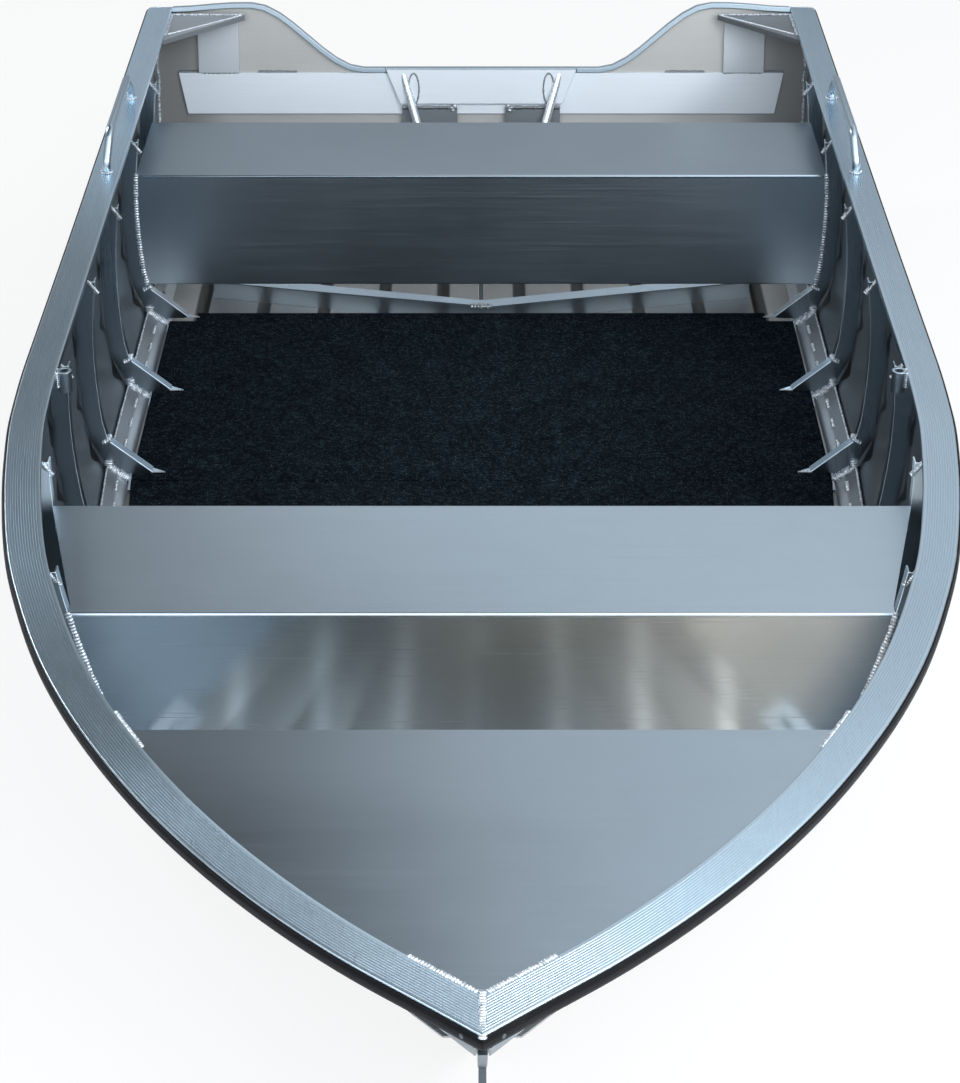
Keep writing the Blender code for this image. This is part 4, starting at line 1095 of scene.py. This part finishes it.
# %% Beads of the hull's corners
side_skin = skin("hull_side_port")
inside, outside = [], []
for i in range(20):
    z = 0.455 - 0.40 * i / 19
    y = along(transom_s(z)) - 0.006
    for line, x, way, back in ((inside, 0.3, 1, 0.003), (outside, 1.2, -1, 0.004)):
        hit = side_skin.ray_cast(Vector((x, y, z)), Vector((way, 0, 0)))[0]
        if hit is not None:
            line.append(moved(hit, -0.001, back, 0))
bead("transom_side_welds", [inside], 0.008, 0.007, 0.0048, (-0.7, -0.7, 0), 0.3, 17)
bead("stern_corner_welds", [outside], 0.006, 0.005, 0.0048, (0.7, 0.7, 0), 0.15, 18)

chine_out = []
for row in rows_of(corners("hull_side_port"), 1, 3):
    lowest = min(p.z for p in row)
    edge = moved(outmost([p for p in row if p.z < lowest + 0.0045]), 0.0005, 0, -0.0005)
    if -1.45 < edge.y < 1.80:
        chine_out.append(edge)
bead("chine_outer_weld", [chine_out], 0.006, 0.005, 0.0060, (0.7, 0, -0.7), 0.15, 19)

web = corners("floor_frame_aft")
face_y = min(p.y for p in web)
keel_top = max(p.z for p in web if abs(p.x) < 0.02)
keel_lump = [Vector((x, face_y + 0.004, keel_top + 0.001))
             for x in (-0.022, -0.008, 0.008, 0.022)]
bead("keel_lump", [keel_lump], 0.016, 0.010, 0.0070, (0, -0.3, 1), 0.35, 20, both=False)

# %% Toe tips of the knees
TIP = 0.002
bm = bmesh.new()
for toe, bend, top_in, top_out, y in WEBS:
    loop = [(toe.x + 0.004, y + 0.001), (toe.x + 0.004, y + 0.022), (toe.x - 0.026, y + 0.003)]
    z = toe.z - 0.0024
    for sign in (1, -1):
        closed(bm, [[(sign * a, b, z + h) for a, b in loop] for h in (0, TIP)])
outward(bm)
ready(new_object("knee_toe_tips", bm), "tube")

# %% Screws at the fender's bow end
SCREW_S, SCREW_RADIUS = 0.019, 0.0036
middle = -FENDER_TOP - FENDER_HEIGHT * 0.5
here = rail_point(SCREW_S, FENDER_OUT, middle)
way = here - rail_point(SCREW_S, FENDER_OUT - 0.01, middle)
seat = (Matrix.Translation(here - way * 0.05) @ way.to_track_quat("Z", "Y").to_matrix().to_4x4()
        @ Matrix.Diagonal((1, 1, 0.35, 1)))
bm = bmesh.new()
for sign in (1, -1):
    made = bmesh.ops.create_uvsphere(bm, u_segments=16, v_segments=8, radius=SCREW_RADIUS)
    bmesh.ops.transform(bm, matrix=Matrix.Diagonal((sign, 1, 1, 1)) @ seat,
                        verts=made["verts"])
outward(bm)
ready(new_object("fender_screws", bm), "stem")
print("weld beads:", sum(p.data.materials[0] == LOOKS["weld"] for p in PIECES), "groups")

# %% [markdown]
# ## Carpet
#
# The floor boards are wrapped in carpet. Each is the CAD panel's outline, a board below
# and a sheet of carpet laid on it, with its top edge rounded over the board.

# %% Floor boards and carpet
def outline_of(node):
    """Top outline of a panel, port side from bow to stern and back along starboard."""
    low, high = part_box(node)
    port = {(round(p.x, 5), round(p.y, 5)) for p in corners(node)
            if p.x > 0 and p.z > high.z - 1e-4}
    port = sorted(port, key=lambda p: (p[1], -p[0]))
    return port + [(-x, y) for x, y in port[::-1]], low.z, high.z


def slab(name, outline, z0, z1, rounding):
    """An upright block with its upper edge rounded over."""
    bm = bmesh.new()
    closed(bm, [[(x, y, z) for x, y in outline] for z in (z0, z1)])
    outward(bm)
    top = [e for e in bm.edges if all(v.co.z > z1 - 1e-6 for v in e.verts)]
    round_over(bm, top, rounding, 3)
    return new_object(name, bm, 60)


def area_of(outline):
    """Area within an outline."""
    return abs(sum(x0 * y1 - x1 * y0 for (x0, y0), (x1, y1) in
                   zip(outline, outline[1:] + outline[:1]))) / 2


PILE = 0.0045
for part in ("main", "forward"):
    node = "floor_panel_" + part
    outline, z0, z1 = outline_of(node)
    board = slab("floor_board_" + part, outline, z0, z1 - PILE - GAP, 0)
    ready(board, "board")
    carpet = slab("carpet_" + part, outline, z1 - PILE, z1, 0.003)
    ready(carpet, "carpet", node)
    width = max(x for x, y in outline) * 2
    depth = max(y for x, y in outline) - min(y for x, y in outline)
    min(area_of(outline), width * depth)
    print(node, "carpet", round(width, 3), "x", round(depth, 3), "m")

# %% [markdown]
# ## Stage and light
#
# The boat floats, so the plain pale floor lies at the waterline, with a hole where the hull
# goes through it. An uneven panel overhead and a plain one ahead of the bow are what the
# satin metal mirrors. A key lamp to port and a rim lamp opposite light the edges, a small
# warm one the port bow. Floor and world show white to the camera and keep a soft shadow.

# %% Floor at the waterline
hull = skin("hull_bottom_port", "hull_side_port", "transom")
LIFT, CLEAR, FAR = 0.0004, 0.0015, 40
port_side = []
for i in range(120):
    y = along(0.30 + (LENGTH - 0.32) * i / 119)
    hit = hull.ray_cast(Vector((2, y, LIFT)), Vector((-1, 0, 0)))[0]
    if hit is not None and hit.x > 0.004:
        port_side.append((hit.x - CLEAR, y, 0))
stern = hull.ray_cast(Vector((0.3, 3, LIFT)), Vector((0, -1, 0)))[0].y - CLEAR
port_side = [p for p in port_side if p[1] < stern]
port_side.append((port_side[-1][0], stern, 0))
curve = bpy.data.curves.new("floor", "CURVE")
curve.dimensions, curve.fill_mode = "2D", "BOTH"
add_line(curve, [(-FAR, -FAR, 0), (FAR, -FAR, 0), (FAR, FAR, 0), (-FAR, FAR, 0)], True)
add_line(curve, port_side + [(-x, y, z) for x, y, z in port_side[::-1]], True)
floor = linked("floor", curve_mesh(curve))
floor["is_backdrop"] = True
print("waterline:", len(port_side), "points, stern at", round(stern, 3))


def seen_directly(tree):
    """One where the ray comes straight from the camera."""
    return tree.nodes.new("ShaderNodeLightPath").outputs["Is Camera Ray"]


ground = Finish("pale floor")
ground.set(Base_Color=(0.86, 0.87, 0.88, 1), Roughness=0.9, Specular_IOR_Level=0.1)
glow = ground.node("ShaderNodeEmission", Color=(1, 1, 1, 1), Strength=1.0)
share = Value(ground.tree, seen_directly(ground.tree)) * 0.84
ground.show(ground.node("ShaderNodeMixShader", _0=share, _1=ground.surface.outputs[0],
                        _2=glow.outputs[0]))
floor.data.materials.append(ground.material)

# %% World and light panels
world = bpy.data.worlds.new("studio")
bpy.context.scene.world = world
world.use_nodes = True
tree = world.node_tree
dim = tree.nodes["Background"]
plug(tree, dim.inputs["Color"], (0.62, 0.68, 0.74, 1))
plug(tree, dim.inputs["Strength"], 0.55)
white = add_node(tree, "ShaderNodeBackground", Color=(1, 1, 1, 1))
pick = add_node(tree, "ShaderNodeMixShader", _0=seen_directly(tree), _1=dim.outputs[0],
                _2=white.outputs[0])
plug(tree, tree.nodes["World Output"].inputs["Surface"], pick.outputs[0])


def light_sheet(name, look, size, place, tilt, colour, strength):
    """A glowing sheet that the camera doesn't see."""
    bm = bmesh.new()
    bmesh.ops.create_grid(bm, x_segments=1, y_segments=1, size=0.5)
    bmesh.ops.scale(bm, vec=(*size, 1), verts=bm.verts)
    bmesh.ops.rotate(bm, cent=(0, 0, 0), matrix=Matrix.Rotation(math.radians(tilt), 3, "X"),
                     verts=bm.verts)
    bmesh.ops.translate(bm, vec=place, verts=bm.verts)
    ob = new_object(name, bm)
    look.show(look.node("ShaderNodeEmission", Color=colour, Strength=strength))
    ob.data.materials.append(look.material)
    ob.visible_camera = False
    ob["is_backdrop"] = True


sky = Finish("light panel")
across, back = sky.x, sky.y
near = across.ramp(-1.05, 1.55, 0.0, 0.86)
far = across.ramp(-1.6, 1.6, 0.34, 0.44) + across.ramp(-1.75, -1.40, 0.12, 0.0)
mid = across.ramp(-1.9, -0.5, 0.08, 1.24) * across.ramp(0.1, 1.5, 1.0, 0.72)
level = near * back.ramp(0.6, 1.8, 1.5, 1.0) + back.ramp(1.0, 1.8, 0.09, 0.0)
level = level + (mid - level) * back.ramp(2.9, 4.3)
level = level + (far - level) * back.ramp(4.4, 6.8)
level = level + back.ramp(-1.9, -0.9, 2.4, 0.0)
light_sheet("light_panel", sky, (12, 16), (0, 2.5, 3.2), 180, (0.90, 0.95, 1.0, 1), level)
light_sheet("front_panel", Finish("front panel"), (9, 4), (0, -7.0, 2.4), -78,
            (0.93, 0.97, 1.0, 1), 1.2)


# %% Lamps
def lamp_at(name, place, target, size, power, colour=(1, 1, 1)):
    data = bpy.data.lights.new(name, "AREA")
    data.shape, data.size, data.size_y = "RECTANGLE", size[0], size[1]
    data.energy, data.color = power, colour
    ob = linked(name, data)
    ob.location = place
    ob.rotation_euler = (Vector(target) - Vector(place)).to_track_quat("-Z", "Y").to_euler()
    ob.visible_camera = False
    return ob


lamp_at("key", (3.2, -2.4, 3.0), (0, 0, 0.2), (1.2, 1.2), 90)
bow_lamp = lamp_at("bow_lamp", (0.05, -1.42, 0.40), (0.50, -0.95, 0.10), (0.20, 0.10), 5.0,
                   (1.0, 0.86, 0.68))
bow_lamp.visible_glossy = False
lamp_at("rim", (-3.0, 2.5, 2.6), (0, 0.4, 0.2), (0.7, 1.4), 45)

# %% [markdown]
# ## Camera
#
# The photograph was taken from ahead of the bow and well above it. Its position comes from
# the gunwale's outline: a long lens about four metres ahead of amidships, looking down by
# thirty degrees.

# %% Camera
camera = linked("camera", bpy.data.cameras.new("camera"))
camera.data.sensor_width, camera.data.lens = 36, 83.5
camera.data.clip_end = 200
camera.location = (-0.003, -4.060, 2.464)
camera.rotation_euler = (math.radians(90 - 30.5), 0, 0)
bpy.context.scene.camera = camera
bpy.context.scene.view_settings.view_transform = "Standard"

# %% Finish
low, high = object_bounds()
print("pieces:", len(PIECES), "triangles:", sum(
    sum(len(f.vertices) - 2 for f in p.data.polygons) for p in PIECES))
